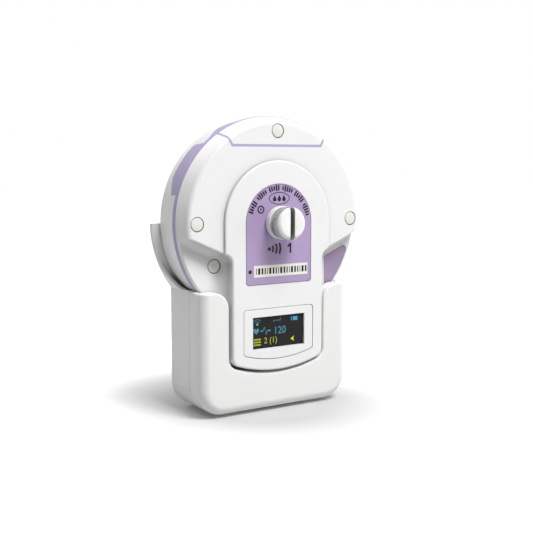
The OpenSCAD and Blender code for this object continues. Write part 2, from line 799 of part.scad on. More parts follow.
module belt_button() color(white) on_axis() difference() {
    head = -flange_t - neck_l;
    union() {
        bar(0, 0, button_r, -flange_t, -flange_gap, fine);
        bar(0, 0, neck_r, head - fit, -flange_t + fit, mid);
        bar(0, 0, stud_r, -flange_t, stud_l);
        upright(head - head_t, head) polygon(rib_line);
        spun() polygon(concat([[0, head - fit], [dome_r, head - fit]],
            [for (i = [0:6]) let (a = 90 * i / 6)
                [flat_r + (dome_r - flat_r) * cos(a), head - head_t - dome_h * sin(a)]],
            [[0, -button_front]]));
    }
    slab(0, 0, slot_w, 2 * button_r + over, -button_front - over, -button_front + slot_depth);
}

// Outside block of the dock between two depths, in the transducer's frame
module dock_block(d0, d1, g) {
    low = foot_proud - axis_z + g;
    half = dock_half - g;
    c = dock_corner - g;
    intersection() {
        upright(d0, d1) polygon(concat([[half, -axis_over_dock], [-half, -axis_over_dock]],
            arc(-half + c, low + c, c, 180, 270, 12), arc(half - c, low + c, c, 270, 360, 12)));
        translate([0, 0, low]) linear_extrude(axis_z) polygon(plan_line(g));
    }
}

// The dock's plan, shrunk by g
function plan_line(g) =
    let (w = dock_half - g, f = stem_proud + g, b = dock_back - g,
        rf = dock_edge - g / 2, rb = dock_back_edge - g / 2)
    concat(arc(-w + rf, f + rf, rf, 180, 270, 8), arc(w - rf, f + rf, rf, 270, 360, 8),
        arc(w - rb, b - rb, rb, 0, 90, 6), arc(-w + rb, b - rb, rb, 90, 180, 6));

// Solid of the pocket's walls, or with g = 0 the pocket itself
module tub(g, d0) {
    upright(d0, backrest_front) intersection() {
        circle(r = pocket_r + g, $fn = fine);
        translate([-far, -far]) square([2 * far, far]);
    }
    upright(stem_proud - over, stem_depth + pocket_gap + g) polygon(stem_line(pocket_gap + g, 0));
}

// Space between the dock's walls and the pocket's walls
module dock_room() difference() {
    dock_block(stem_proud, backrest_front, dock_wall);
    tub(tub_wall, 0);
}

// Cut-out in the dock's front, with rounded upper corners
module dock_cut(d1) {
    half = stem_half + cut_gap;
    top = -axis_over_dock;
    upright(stem_proud - over, d1) union() {
        polygon(stem_line(cut_gap, 0));
        both_sides_flat() difference() {
            translate([half - fit, top - cut_corner]) square([cut_corner + fit, cut_corner + over]);
            translate([half + cut_corner, top - cut_corner]) circle(r = cut_corner, $fn = mid);
        }
    }
}

module both_sides_flat() {
    children();
    mirror([1, 0]) children();
}

module dock_screw_places() for (x = [-dock_screw_x, dock_screw_x], z = [dock_screw_low, dock_screw_high])
    translate([x, 0, z - axis_z]) children();

module foot_hole() translate([0, -stem_y, -axis_z])
    rounded_pad(foot_w + 2 * fit, foot_l + 2 * fit, foot_proud + foot_sink + fit);

// A flat pad with rounded corners, standing on the origin
module rounded_pad(w, l, h) linear_extrude(h) union() {
    r = pad_corner;
    square([w - 2 * r, l], center = true);
    square([w, l - 2 * r], center = true);
    for (x = [-1, 1], y = [-1, 1]) translate([x * (w / 2 - r), y * (l / 2 - r)])
        circle(r = r, $fn = small);
}

module dock_front_shell() color(white) on_axis() difference() {
    union() {
        difference() {
            dock_block(stem_proud, split_depth, 0);
            dock_room();
        }
        dock_screw_places() bar(0, 0, boss_d / 2, stem_proud + dock_wall / 2, split_depth);
    }
    tub(0, stem_proud + lip_t);
    dock_cut(split_depth + over);
    dock_screw_places()
        bar(0, 0, dock_screw_d / 2 + thread_fit, dock_seat - dock_screw_l - over, split_depth + over);
    foot_hole();
}

// Curved cheeks that carry the backrest's rim forwards onto the dock's top
module cheeks() intersection() {
    upright(backrest_front - cheek_l, dock_back) difference() {
        circle(r = backrest_r, $fn = fine);
        circle(r = pocket_r, $fn = fine);
    }
    translate([-far, backrest_front, -axis_over_dock]) rotate([90, 0, 90]) linear_extrude(2 * far)
        polygon(concat([[backrest_t, -dock_wall], [-cheek_l, -dock_wall]],
            [for (i = [0:12]) let (a = 90 * i / 12)
                [-cheek_l + cheek_l * sin(a), cheek_h - cheek_h * cos(a)]],
            [[backrest_t, cheek_h]]));
}

// A bar along the depth whose ends are half round, from y0 to y1
module rounded_bar(w, h, y0, y1) translate([0, y1, 0]) rotate([90, 0, 0]) linear_extrude(y1 - y0) {
    square([w - h, h], center = true);
    for (x = [-1, 1]) translate([x * (w - h) / 2, 0]) circle(r = h / 2, $fn = small);
}

board_z = bay_floor + dock_board_up;
socket_z = board_z + board_t + socket_h / 2 + fit;
block_w = 2 * (contact_x + pin_r) + 3.4;
block_top = axis_z - stem_drop - pocket_gap;

module dock_rear_shell() color(white) on_axis() difference() {
    union() {
        difference() {
            dock_block(split_depth, dock_back, 0);
            dock_room();
        }
        upright(backrest_front, dock_back) intersection() {
            circle(r = backrest_r, $fn = fine);
            translate([-backrest_r, -backrest_r]) square([2 * backrest_r, backrest_r - backrest_drop]);
        }
        cheeks();
        dock_screw_places() bar(0, 0, dock_head_d / 2 + loose + dock_boss_wall, split_depth, dock_back - fit);
        both_sides() translate([post_x, post_depth, bay_floor - axis_z - fit]) {
            cylinder(r = post_r, h = dock_board_up + fit, $fn = small);
            cylinder(r = peg_r, h = dock_board_up + board_t + 3 * fit, $fn = small);
        }
    }
    tub(0, 0);
    dock_screw_places() {
        bar(0, 0, dock_screw_d / 2 + loose, 0, dock_back);
        bar(0, 0, dock_head_d / 2 + loose, dock_seat, dock_back + over);
    }
    translate([0, 0, socket_z - axis_z])
        rounded_bar(socket_w + 2 * loose, socket_h + 2 * loose, backrest_front - over, dock_back + over);
    slab(0, block_top - axis_z, block_w + 2 * fit, 4 * dock_wall, split_depth - over,
        contact_depth + block_l / 2 + fit);
    foot_hole();
}

module foot_pad() color("#7E7E82") rounded_pad(foot_w, foot_l, foot_proud + foot_sink);

module ballast_plate() color(steel) translate([0, 0, bay_floor])
    rounded_pad(ballast_w, ballast_l, ballast_t);

module dock_screws() color(steel) on_axis() dock_screw_places()
    translate([0, dock_seat, 0]) mirror([0, 1, 0])
        screw(0, 0, 0, dock_screw_l, dock_screw_d, dock_head_d, dock_head_t);

module dock_board() color(green) difference() {
    translate([-dock_board_w / 2, stem_y + backrest_front - dock_board_l - loose, board_z])
        cube([dock_board_w, dock_board_l, board_t]);
    both_sides() translate([post_x, stem_y + post_depth, board_z - over])
        cylinder(r = peg_r + fit, h = board_t + 2 * over, $fn = small);
}

module power_socket() color(steel) translate([0, 0, socket_z]) {
    y1 = stem_y + dock_back - socket_sink;
    y0 = y1 - socket_l;
    difference() {
        rounded_bar(socket_w, socket_h, y0, y1);
        rounded_bar(socket_w - 2 * socket_wall, socket_h - 2 * socket_wall, y0 + over, y1 + over);
    }
    translate([-tongue_w / 2, y0 + over / 2, -tongue_t / 2]) cube([tongue_w, socket_l - 2 * over, tongue_t]);
}

contact_y = stem_y + contact_depth;
pin_top = axis_z + pad_under - pin_gap;
pin_shoulder = block_top - pin_roof;
block_low = board_z + board_t;
spring_low = block_low + spring_floor;
spring_high = pin_shoulder - shoulder_h;

module contact_block() color("#333336") difference() {
    translate([-block_w / 2, contact_y - block_l / 2, block_low])
        cube([block_w, block_l, block_top - block_low]);
    both_sides() translate([contact_x, contact_y, spring_low]) {
        cylinder(r = pin_r + pin_clear, h = pin_shoulder - spring_low + thread_fit, $fn = small);
        cylinder(r = pin_tip_r + pin_clear, h = far, $fn = small);
    }
}

module contact_pin(x) color("#D9B45A") translate([x, contact_y, spring_high]) {
    tall = pin_top - spring_high;
    tip = 0.3;
    rotate_extrude($fn = small) polygon([[0, 0], [pin_r, 0], [pin_r, shoulder_h], [pin_tip_r, shoulder_h],
        [pin_tip_r, tall - tip], [pin_tip_r - tip, tall], [0, tall]]);
}

module contact_pin_left() contact_pin(-contact_x);
module contact_pin_right() contact_pin(contact_x);

// A coil spring under a pin: one tube swept along a helix
module contact_spring(x) color(steel) translate([x, contact_y, spring_low + spring_wire / 2 + thread_fit]) {
    w = spring_wire / 2;
    r = pin_r - w - thread_fit;
    rise = spring_high - spring_low - spring_wire - 3 * thread_fit;
    sides = 6;
    per_turn = 12;
    count = per_turn * spring_turns;
    pts = [for (i = [0:count]) let (a = 360 * i / per_turn)
        for (k = [0:sides - 1]) let (b = 360 * k / sides)
            [(r + w * cos(b)) * cos(a), (r + w * cos(b)) * sin(a), rise * i / count + w * sin(b)]];
    polyhedron(points = pts, faces = concat([[for (k = [0:sides - 1]) k]],
        [for (i = [0:count - 1], k = [0:sides - 1]) let (a = i * sides + k,
            b = i * sides + (k + 1) % sides) [a, a + sides, b]],
        [for (i = [0:count - 1], k = [0:sides - 1]) let (a = i * sides + k,
            b = i * sides + (k + 1) % sides) [b, a + sides, b + sides]],
        [[for (k = [0:sides - 1]) count * sides + sides - 1 - k]]));
}

module contact_spring_left() contact_spring(-contact_x);
module contact_spring_right() contact_spring(contact_x);

dock_front_shell();
dock_rear_shell();
foot_pad();
ballast_plate();
dock_screws();
dock_board();
power_socket();
contact_block();
contact_pin_left();
contact_pin_right();
contact_spring_left();
contact_spring_right();
front_shell();
rear_shell();
top_cap();
cap_trim();
rim_band();
label_plate();
blank_strip();
side_badge();
display_frame();
display_window();
display_panel();
display_board();
board_ribbon();
main_board();
battery();
crystal_carrier();
crystals();
shell_screws();
screw_plugs();
charge_pads();
stud_insert();
button_seal();
belt_button();
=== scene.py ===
import json
import math

import bpy
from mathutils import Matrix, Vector


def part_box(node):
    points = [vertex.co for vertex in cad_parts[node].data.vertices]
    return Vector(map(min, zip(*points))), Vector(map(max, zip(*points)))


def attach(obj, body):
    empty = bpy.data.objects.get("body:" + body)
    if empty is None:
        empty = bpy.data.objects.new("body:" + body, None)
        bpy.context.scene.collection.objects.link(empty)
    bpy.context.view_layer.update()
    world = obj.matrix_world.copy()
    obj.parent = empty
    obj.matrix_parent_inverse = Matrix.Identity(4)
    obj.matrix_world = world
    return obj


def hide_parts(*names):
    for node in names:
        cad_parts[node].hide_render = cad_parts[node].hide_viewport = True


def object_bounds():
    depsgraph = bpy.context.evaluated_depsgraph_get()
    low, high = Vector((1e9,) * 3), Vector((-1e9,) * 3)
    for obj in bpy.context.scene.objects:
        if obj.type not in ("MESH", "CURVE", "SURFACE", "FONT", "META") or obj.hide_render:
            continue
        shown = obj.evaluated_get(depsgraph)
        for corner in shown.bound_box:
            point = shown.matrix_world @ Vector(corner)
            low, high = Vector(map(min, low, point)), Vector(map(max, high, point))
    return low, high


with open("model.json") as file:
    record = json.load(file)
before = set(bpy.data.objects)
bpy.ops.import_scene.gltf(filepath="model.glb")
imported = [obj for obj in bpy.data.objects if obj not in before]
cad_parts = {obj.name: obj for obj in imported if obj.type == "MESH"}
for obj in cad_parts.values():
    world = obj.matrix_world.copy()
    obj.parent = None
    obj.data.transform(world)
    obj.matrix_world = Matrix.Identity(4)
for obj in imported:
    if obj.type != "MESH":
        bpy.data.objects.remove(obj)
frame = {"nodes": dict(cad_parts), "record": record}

cad_low, cad_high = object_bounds()

# ---------------------------------------------------------------- Dock, front half
# The front half of the charging dock: an injection-moulded ABS shell with a U-shaped cut-out
# that the transducer's stem stands in. Its outside edges are softly rounded in the mould.
MM = 0.001


def mount_height(name):
    """The height of one of the record's mounts, in metres."""
    return next(m for m in frame["record"]["mounts"] if m["name"] == name)["pos_m"][2]


axis_z = mount_height("belt_neck")
stem_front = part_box("front_shell")[0].y
dock_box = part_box("dock_front_shell")
dock_half = dock_box[1].x / MM
dock_top = (dock_box[1].z - axis_z) / MM
dock_low = (dock_box[0].z - axis_z) / MM
dock_front = (dock_box[0].y - stem_front) / MM
dock_split = (dock_box[1].y - stem_front) / MM
dock_corner = 10
dock_edge = 3.8
dock_lip = 4.2
dock_wall = 2
cut_gap = 1.1
cut_corner = 6.4
cut_edge = 0.8
stem_half = 20.6
stem_drop = 57.5
stem_bow = 56.1
stem_corner = 3.4
stem_back = 17
disc_rim = 40.5
pocket_gap = 0.4
pocket_r = disc_rim + pocket_gap
tub_wall = 1.6
seam = 0.3
# An edge within touch of a face counts as on it, and beyond is a reach past every piece.
touch = 0.05
beyond = 60
# The next two set the reach and the samples of the ambient occlusion that paints shade into inner corners.
painted_shade_reach = 8
painted_shade_samples = 12


def place(x, depth, z):
    """A point given across, behind the stem's face and above the disc's axis, in millimetres."""
    return Vector((x * MM, stem_front + depth * MM, axis_z + z * MM))


def seat(point):
    """The same three millimetre values of a point on the model."""
    return Vector((point.x, point.y - stem_front, point.z - axis_z)) / MM


def arc(x, z, r, start, end, steps):
    """Points along a circle, from one angle to another in degrees."""
    turns = [math.radians(start + (end - start) * i / steps) for i in range(steps + 1)]
    return [(x + r * math.cos(t), z + r * math.sin(t)) for t in turns]


def bowed(half, bow, middle, corner, steps=48):
    """The bowed underside of the stem or frame with its rounded corners, from right to left."""
    x = half - corner
    z = middle - math.sqrt((bow - corner) ** 2 - x ** 2)
    turn = math.degrees(math.atan2(z - middle, x))
    return (arc(x, z, corner, 0, turn, 10) + arc(0, middle, bow, turn, -180 - turn, steps)[1:-1]
            + arc(-x, z, corner, -180 - turn, -180, 10))


def stem_line(grow, top):
    """The stem's outline, grown by some millimetres, up to a height."""
    half = stem_half + grow
    low = bowed(half, stem_bow + grow, stem_bow - stem_drop, stem_corner + grow)
    return [(half, top)] + low + [(-half, top)]


def pick(*pieces):
    """Select these pieces alone."""
    bpy.ops.object.select_all(action="DESELECT")
    for piece in pieces:
        piece.select_set(True)
    bpy.context.view_layer.objects.active = pieces[0]


def outward():
    """Join doubles and turn all the faces of the piece in edit mode outwards."""
    bpy.ops.mesh.select_all(action="SELECT")
    bpy.ops.mesh.remove_doubles(threshold=1e-7)
    bpy.ops.mesh.normals_make_consistent(inside=False)
    bpy.ops.object.mode_set(mode="OBJECT")


def prism(name, points, push):
    """A flat outline of points, pushed along a direction into a solid."""
    bpy.ops.object.select_all(action="DESELECT")
    bpy.ops.mesh.primitive_circle_add(vertices=len(points), radius=MM, fill_type="NGON")
    piece = bpy.context.object
    piece.name = piece.data.name = name
    for vertex, point in zip(piece.data.vertices, points):
        vertex.co = point
    bpy.ops.object.mode_set(mode="EDIT")
    bpy.ops.mesh.select_all(action="SELECT")
    bpy.ops.mesh.extrude_region_move(TRANSFORM_OT_translate={"value": push})
    outward()
    return piece


def plate(name, outline, near, far):
    """An upright plate with a front outline, between two depths."""
    return prism(name, [place(x, near, z) for x, z in outline], (0, (far - near) * MM, 0))


def turned(name, profile, sides=192, x=0, z=0):
    """A round piece: a closed profile of radius and depth, spun about an axis along the depth."""
    bpy.ops.object.select_all(action="DESELECT")
    bpy.ops.mesh.primitive_circle_add(vertices=len(profile), radius=MM)
    piece = bpy.context.object
    piece.name = piece.data.name = name
    for vertex, (r, depth) in zip(piece.data.vertices, profile):
        vertex.co = place(x + r, depth, z)
    bpy.ops.object.mode_set(mode="EDIT")
    bpy.ops.mesh.select_all(action="SELECT")
    bpy.ops.mesh.spin(steps=sides, angle=math.tau, use_auto_merge=True,
                      center=place(x, 0, z), axis=(0, 1, 0))
    bpy.ops.mesh.select_all(action="SELECT")
    bpy.ops.mesh.remove_doubles(threshold=1e-7)
    bpy.ops.mesh.delete_loose(use_verts=True, use_edges=True, use_faces=False)
    outward()
    return piece


def drum(name, r, near, far, sides=192, x=0, z=0):
    """A plain round bar between two depths, made to be cut away or joined."""
    return turned(name, [(0, near), (r, near), (r, far), (0, far)], sides, x, z)


def block(name, x, depth, z):
    """A box given by its two ends across, in depth and in height."""
    low, high = place(x[0], depth[0], z[0]), place(x[1], depth[1], z[1])
    bpy.ops.object.select_all(action="DESELECT")
    bpy.ops.mesh.primitive_cube_add(size=1, location=(low + high) / 2, scale=high - low)
    piece = bpy.context.object
    piece.name = piece.data.name = name
    bpy.ops.object.transform_apply(location=True, rotation=True, scale=True)
    return piece


def copy_of(piece):
    """A copy with its own mesh."""
    pick(piece)
    bpy.ops.object.duplicate()
    return bpy.context.object


def carve(piece, tool, how="DIFFERENCE"):
    """Cut the tool away from a piece, or join it to the piece, and put the tool away."""
    pick(piece)
    change = piece.modifiers.new(how.lower(), "BOOLEAN")
    change.operation, change.solver, change.object = how, "EXACT", tool
    bpy.ops.object.modifier_apply(modifier=change.name)
    bpy.data.objects.remove(tool)


def soften(piece, width, where, steps=4, sharper=30):
    """Round the sharp edges that where accepts, given an edge's two ends in millimetres."""
    pick(piece)
    bpy.ops.object.mode_set(mode="EDIT")
    bpy.ops.mesh.select_mode(type="EDGE")
    bpy.ops.mesh.select_all(action="DESELECT")
    bpy.ops.mesh.edges_select_sharp(sharpness=math.radians(sharper))
    bpy.ops.object.mode_set(mode="OBJECT")
    mesh = piece.data
    chosen = [edge.index for edge in mesh.edges if edge.select
              and where(*(seat(mesh.vertices[v].co) for v in edge.vertices))]
    for group in (mesh.vertices, mesh.edges, mesh.polygons):
        group.foreach_set("select", [False] * len(group))
    for index in chosen:
        mesh.edges[index].select = True
    bpy.ops.object.mode_set(mode="EDIT")
    bpy.ops.mesh.bevel(offset=width * MM, segments=steps, profile=0.5, clamp_overlap=False)
    bpy.ops.mesh.select_all(action="DESELECT")
    bpy.ops.mesh.select_mode(type="VERT")
    bpy.ops.object.mode_set(mode="OBJECT")


def linear(text):
    """A colour written as an sRGB hex value, as Blender's linear red, green, blue and one."""
    parts = [int(text[i:i + 2], 16) / 255 for i in (1, 3, 5)]
    return tuple(c / 12.92 if c < 0.04045 else ((c + 0.055) / 1.055) ** 2.4 for c in parts) + (1,)


def add_node(finish, kind, inputs=None, **settings):
    """Add a node with its settings, and give its inputs values or other nodes' outputs."""
    node = finish.node_tree.nodes.new(kind)
    for name, value in settings.items():
        setattr(node, name, value)
    for name, value in (inputs or {}).items():
        if isinstance(value, bpy.types.NodeSocket):
            finish.node_tree.links.new(value, node.inputs[name])
        else:
            node.inputs[name].default_value = value
    return node


def surface(name, colour, other, patch, grain, relief, roughness=0.4, spread=0.05, corners=None, **shader):
    """A finish with soft patches of a second colour, and a grain that is seen in gloss and relief.

    patch and grain are the sizes of the patches and of the grain in mm, and relief is its depth.
    A grain that would be too fine to show is drawn coarser than the real one. corners is the
    colour of painted shade, which an ambient occlusion node mixes in towards the piece's own
    inner corners and recesses.
    """
    finish = bpy.data.materials.new(name)
    finish.use_nodes = True
    finish.node_tree.nodes.clear()
    place_on = add_node(finish, "ShaderNodeTexCoord").outputs["Object"]
    cloud = add_node(finish, "ShaderNodeTexNoise", {
        "Vector": place_on, "Scale": 1 / (patch * MM), "Detail": 2})
    speck = add_node(finish, "ShaderNodeTexNoise", {
        "Vector": place_on, "Scale": 1 / (grain * MM), "Detail": 3})
    tint = add_node(finish, "ShaderNodeMix", {
        "Factor": cloud.outputs["Fac"], "A": linear(colour), "B": linear(other)}, data_type="RGBA")
    # Painted shade: an ambient occlusion node of the piece's own shape darkens the colour towards corners in
    # its inner corners and recesses.
    if corners:
        corner = add_node(finish, "ShaderNodeAmbientOcclusion", {"Distance": painted_shade_reach * MM},
                          samples=painted_shade_samples, only_local=True)
        tint = add_node(finish, "ShaderNodeMix", {
            "Factor": corner.outputs["AO"], "A": linear(corners), "B": tint.outputs["Result"]},
            data_type="RGBA")
    gloss = add_node(finish, "ShaderNodeMapRange", {
        "Value": speck.outputs["Fac"], "To Min": roughness - spread, "To Max": roughness + spread})
    bump = add_node(finish, "ShaderNodeBump", {
        "Height": speck.outputs["Fac"], "Distance": relief * MM, "Strength": 0.5})
    body = add_node(finish, "ShaderNodeBsdfPrincipled", {
        "Base Color": tint.outputs["Result"], "Roughness": gloss.outputs["Result"],
        "Normal": bump.outputs["Normal"], **shader})
    add_node(finish, "ShaderNodeOutputMaterial", {"Surface": body.outputs["BSDF"]})
    return finish


def assemble(piece, finish, body, slot, *nodes):
    """Smooth a finished piece, give it its finish, and put it on its body in place of its nodes."""
    pick(piece)
    bpy.ops.object.shade_smooth_by_angle(angle=math.radians(28))
    even = piece.modifiers.new("even shading", "WEIGHTED_NORMAL")
    even.keep_sharp = True
    bpy.ops.object.modifier_apply(modifier=even.name)
    piece.data.materials.clear()
    piece.data.materials.append(finish)
    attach(piece, body)
    if nodes:
        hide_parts(*nodes)


# Injection-moulded ABS: a clean white with a satin sheen from a finely sparked mould, with painted shade in
# its inner corners.
white_abs = surface("moulded_ABS_dock", "#ECECEB", "#E9E9E8", 14, 0.35, 0.004, 0.42, 0.04, "#4A4A4A")

cut_half = stem_half + cut_gap
dock_line = ([(dock_half, dock_top)]
             + arc(cut_half + cut_corner, dock_top - cut_corner, cut_corner, 90, 180, 16)
             + bowed(cut_half, stem_bow + cut_gap, stem_bow - stem_drop, stem_corner + cut_gap)
             + arc(-cut_half - cut_corner, dock_top - cut_corner, cut_corner, 0, 90, 16)
             + [(-dock_half, dock_top)]
             + arc(-dock_half + dock_corner, dock_low + dock_corner, dock_corner, 180, 270, 20)
             + arc(dock_half - dock_corner, dock_low + dock_corner, dock_corner, 270, 360, 20))
dock_front_piece = plate("dock_front", dock_line, dock_front, dock_split)


def on_dock_side(a, b):
    """Whether an edge lies on one of the dock's sides, lower corners or its underside."""
    return min(abs(a.x), abs(b.x)) > dock_half - touch or max(a.z, b.z) < dock_low + dock_corner + touch


soften(dock_front_piece, dock_edge,
       lambda a, b: max(a.y, b.y) < dock_front + touch and on_dock_side(a, b), 10)
soften(dock_front_piece, cut_edge, lambda a, b: min(a.y, b.y) < dock_split - 0.1
       and (min(a.z, b.z) > dock_top - touch
            or (max(a.y, b.y) < dock_front + touch and max(abs(a.x), abs(b.x)) < cut_half + cut_corner
                and min(a.z, b.z) > dock_low + dock_corner)), 6, 20)
soften(dock_front_piece, seam,
       lambda a, b: min(a.y, b.y) > dock_split - touch and on_dock_side(a, b), 2)
backrest_front = (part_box("dock_rear_shell")[1].y - stem_front) / MM - dock_wall
inner_corner = dock_corner - dock_wall
dock_room = plate(
    "dock_room",
    [(dock_half - dock_wall, dock_top - dock_wall), (dock_wall - dock_half, dock_top - dock_wall)]
    + arc(-dock_half + dock_corner, dock_low + dock_corner, inner_corner, 180, 270, 12)
    + arc(dock_half - dock_corner, dock_low + dock_corner, inner_corner, 270, 360, 12),
    dock_front + dock_wall, backrest_front)
carve(dock_room, drum("tub_wall", pocket_r + tub_wall, 0, beyond))
carve(dock_room, plate("tub_stem", stem_line(pocket_gap + tub_wall, 0), 0,
                       stem_back + pocket_gap + tub_wall))
carve(dock_front_piece, copy_of(dock_room))
carve(dock_front_piece, drum("pocket", pocket_r, dock_front + dock_lip, beyond))
carve(dock_front_piece, plate("stem_pocket", stem_line(pocket_gap, 0), dock_front + dock_lip, 30))
assemble(dock_front_piece, white_abs, "dock", "dock_plastic", "dock_front_shell")

# ---------------------------------------------------------------- Dock, rear half
# The rear half of the dock, of the same ABS: a box with the pocket, and a round backrest whose
# cheeks sweep forwards onto the dock's top. Four screws and the charging inlet enter its back.
dock_back = backrest_front + dock_wall
dock_back_edge = 0.4
backrest_r = pocket_r + 1.4
backrest_top = -0.4
cheek_reach = 10
cheek_rise = 13.4
nose_in = 0.4
nose_out = 1.0
backrest_round = 0.6
backrest_sink = 0.03
backrest_back = dock_back - backrest_sink
screw_across = 27.2
screw_heights = (13, 32)
screw_hole_r = 2.3
inlet_half = 2.85
inlet_r = 1.8
inlet_z = mount_height("power_inlet") / MM - axis_z / MM
contact_half = 8.1
contact_back = 15.9
contact_low = -61.9
contact_high = -53.9
dock_box_line = ([(dock_half, dock_top), (-dock_half, dock_top)]
                 + arc(-dock_half + dock_corner, dock_low + dock_corner, dock_corner, 180, 270, 20)
                 + arc(dock_half - dock_corner, dock_low + dock_corner, dock_corner, 270, 360, 20))
dock_rear_piece = plate("dock_rear", dock_box_line, dock_split, dock_back)
soften(dock_rear_piece, dock_back_edge,
       lambda a, b: min(a.y, b.y) > dock_back - touch and on_dock_side(a, b), 8)
soften(dock_rear_piece, seam,
       lambda a, b: max(a.y, b.y) < dock_split + touch and on_dock_side(a, b), 2)
nose_r = backrest_r - nose_out
backrest = turned(
    "backrest", [(0, backrest_front), (pocket_r, backrest_front)]
    + arc(nose_r, nose_in, nose_in, 180, 270, 5)
    + arc(nose_r, nose_out, nose_out, 270, 360, 8)[1:]
    + arc(backrest_r - backrest_round, backrest_back - backrest_round, backrest_round, 0, 90, 5)
    + [(0, backrest_back)], 720)
for vertex in backrest.data.vertices:
    spot = seat(vertex.co)
    if spot.y < backrest_front - 5:
        rise = min(max((spot.z - dock_top) / cheek_rise, 0), 1)
        edge = backrest_front - cheek_reach * (1 - math.sqrt(1 - (1 - rise) ** 2))
        inner = math.hypot(spot.x, spot.z) < nose_r + 0.01
        depth = min(edge + spot.y, backrest_front) if inner else edge + spot.y
        vertex.co = place(spot.x, depth, spot.z)
pick(backrest)
bpy.ops.object.mode_set(mode="EDIT")
outward()
carve(backrest, block("above", (-beyond, beyond), (-5, beyond), (backrest_top, beyond)))
carve(dock_rear_piece, backrest, "UNION")
carve(dock_rear_piece, dock_room)
carve(dock_rear_piece, drum("pocket", pocket_r, 0, backrest_front, 360))
carve(dock_rear_piece, plate("stem_pocket", stem_line(pocket_gap, 0), 0, stem_back + pocket_gap))
for x in (-screw_across, screw_across):
    for z in screw_heights:
        carve(dock_rear_piece, drum("screw_hole", screw_hole_r, 17, 30, 48, x, z - axis_z / MM))
carve(dock_rear_piece, plate("inlet", arc(inlet_half, inlet_z, inlet_r, -90, 90, 12)
                             + arc(-inlet_half, inlet_z, inlet_r, 90, 270, 12), dock_back - 3, 30))
carve(dock_rear_piece, block("contact_slot", (-contact_half, contact_half),
                             (dock_split - 1, contact_back), (contact_low, contact_high)))
assemble(dock_rear_piece, white_abs, "dock", "dock_plastic", "dock_rear_shell")

# ---------------------------------------------------------------- Foot, ballast and dock screws
# A soft silicone foot pressed into the dock's underside, narrower than the dock, so that the
# dock seems to float. The ballast plate and the four screws are zinc-plated steel.
foot_corner = 2
foot_edge = 0.3
foot_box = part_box("foot_pad")
foot_low, foot_high = seat(foot_box[0]), seat(foot_box[1])
foot = block("foot", (foot_low.x, foot_high.x), (foot_low.y, foot_high.y), (foot_low.z, foot_high.z))
soften(foot, foot_corner, lambda a, b: abs(a.z - b.z) > 1, 8)
soften(foot, foot_edge, lambda a, b: max(a.z, b.z) < foot_low.z + touch, 3)
# Silicone rubber: matte grey and soft to the eye.
silicone = surface("moulded_silicone_foot", "#7A7A7E", "#6E6E72", 3, 0.3, 0.01, 0.75, 0.08)
assemble(foot, silicone, "dock", "foot_rubber", "foot_pad")
# Zinc-plated steel: a cool grey metal with a fine cloudy lustre.
zinc_steel = surface("zinc_plated_steel", "#C2C6CA", "#AEB3B8", 2, 0.2, 0.002, 0.35, 0.1, Metallic=1)


def finish_node(name, finish):
    """Give a piece that comes as it is from the frame its real finish."""
    mesh = frame["nodes"][name].data
    mesh.materials.clear()
    mesh.materials.append(finish)


for name in ("ballast_plate", "dock_screws"):
    finish_node(name, zinc_steel)

# ---------------------------------------------------------------- Charging board, inlet and contacts
# A small glass-fibre board carries a steel-shelled inlet and a black moulded block with two
# gold-plated sprung pins, which meet the pads in the stem's underside.

# Solder mask over glass fibre: glossy green with a faint weave under it.
solder_mask = surface("solder_mask_board", "#2C6A48", "#245A3C", 1.2, 0.3, 0.01, 0.3, 0.08)
# Glass-filled moulding resin: a dead matte black.
black_resin = surface("moulded_black_resin", "#2B2B2D", "#252527", 3, 0.25, 0.01, 0.6, 0.06)
# Gold plating on turned brass: a warm bright metal.
gold_plate = surface("gold_plated_brass", "#E2B657", "#D6A748", 1, 0.1, 0.001, 0.22, 0.05, Metallic=1)
# Spring steel wire: bright and hard.
spring_wire = surface("spring_steel_wire", "#C9CCCF", "#BBBEC2", 1, 0.1, 0.001, 0.28, 0.05, Metallic=1)
finish_node("dock_board", solder_mask)
finish_node("power_socket", zinc_steel)
finish_node("contact_block", black_resin)
for name in ("contact_pin_left", "contact_pin_right"):
    finish_node(name, gold_plate)
for name in ("contact_spring_left", "contact_spring_right"):
    finish_node(name, spring_wire)

# ---------------------------------------------------------------- Transducer, rear half
# The rear half of the transducer: a round ABS cup with a softly rounded back edge, whose lower
# side carries the rear half of the stem. Its plain back is the face that lies on the skin.
band_near = 7.7
band_far = 10.0
disc_back = 24.3
back_r = 39.1
back_round = 1
shell_wall = 1.8
stem_clip = -30
stem_back_edge = 1.2
pad_x = 5
pad_hole_r = 1.8
pad_hole_depth = 13.4
pad_hole_l = 6
# Injection-moulded ABS of the transducer: the same white, a shade smoother to the touch, with painted shade
# in its inner corners.
shell_abs = surface("moulded_ABS_shell", "#EEEEEE", "#EBEBEB", 14, 0.35, 0.003, 0.38, 0.04, "#1A1A1A")
back_line = arc(back_r - back_round, disc_back - back_round, back_round, 15, 90, 10)
rear_half = turned("transducer_rear", [(0, band_far), (disc_rim, band_far)] + back_line
                   + [(0, disc_back)], 256)
rear_stem = plate("rear_stem", stem_line(0, stem_clip), band_near, stem_back)
soften(rear_stem, stem_back_edge,
       lambda a, b: min(a.y, b.y) > stem_back - touch and max(a.z, b.z) < stem_clip + touch, 6)
carve(rear_half, rear_stem, "UNION")
carve(rear_half, drum("rear_room", back_r - shell_wall, 0, disc_back - shell_wall))
carve(rear_half, plate("rear_stem_room", stem_line(-shell_wall, stem_clip), 0, stem_back - shell_wall))
for x in (-pad_x, pad_x):
    bpy.ops.object.select_all(action="DESELECT")
    bpy.ops.mesh.primitive_cylinder_add(vertices=48, radius=pad_hole_r * MM, depth=pad_hole_l * MM,
                                        location=place(x, pad_hole_depth, -stem_drop))
    pad_hole = bpy.context.object
    bpy.ops.object.transform_apply(location=True, rotation=True, scale=True)
    carve(rear_half, pad_hole)
assemble(rear_half, shell_abs, "transducer", "shell_plastic", "rear_shell")

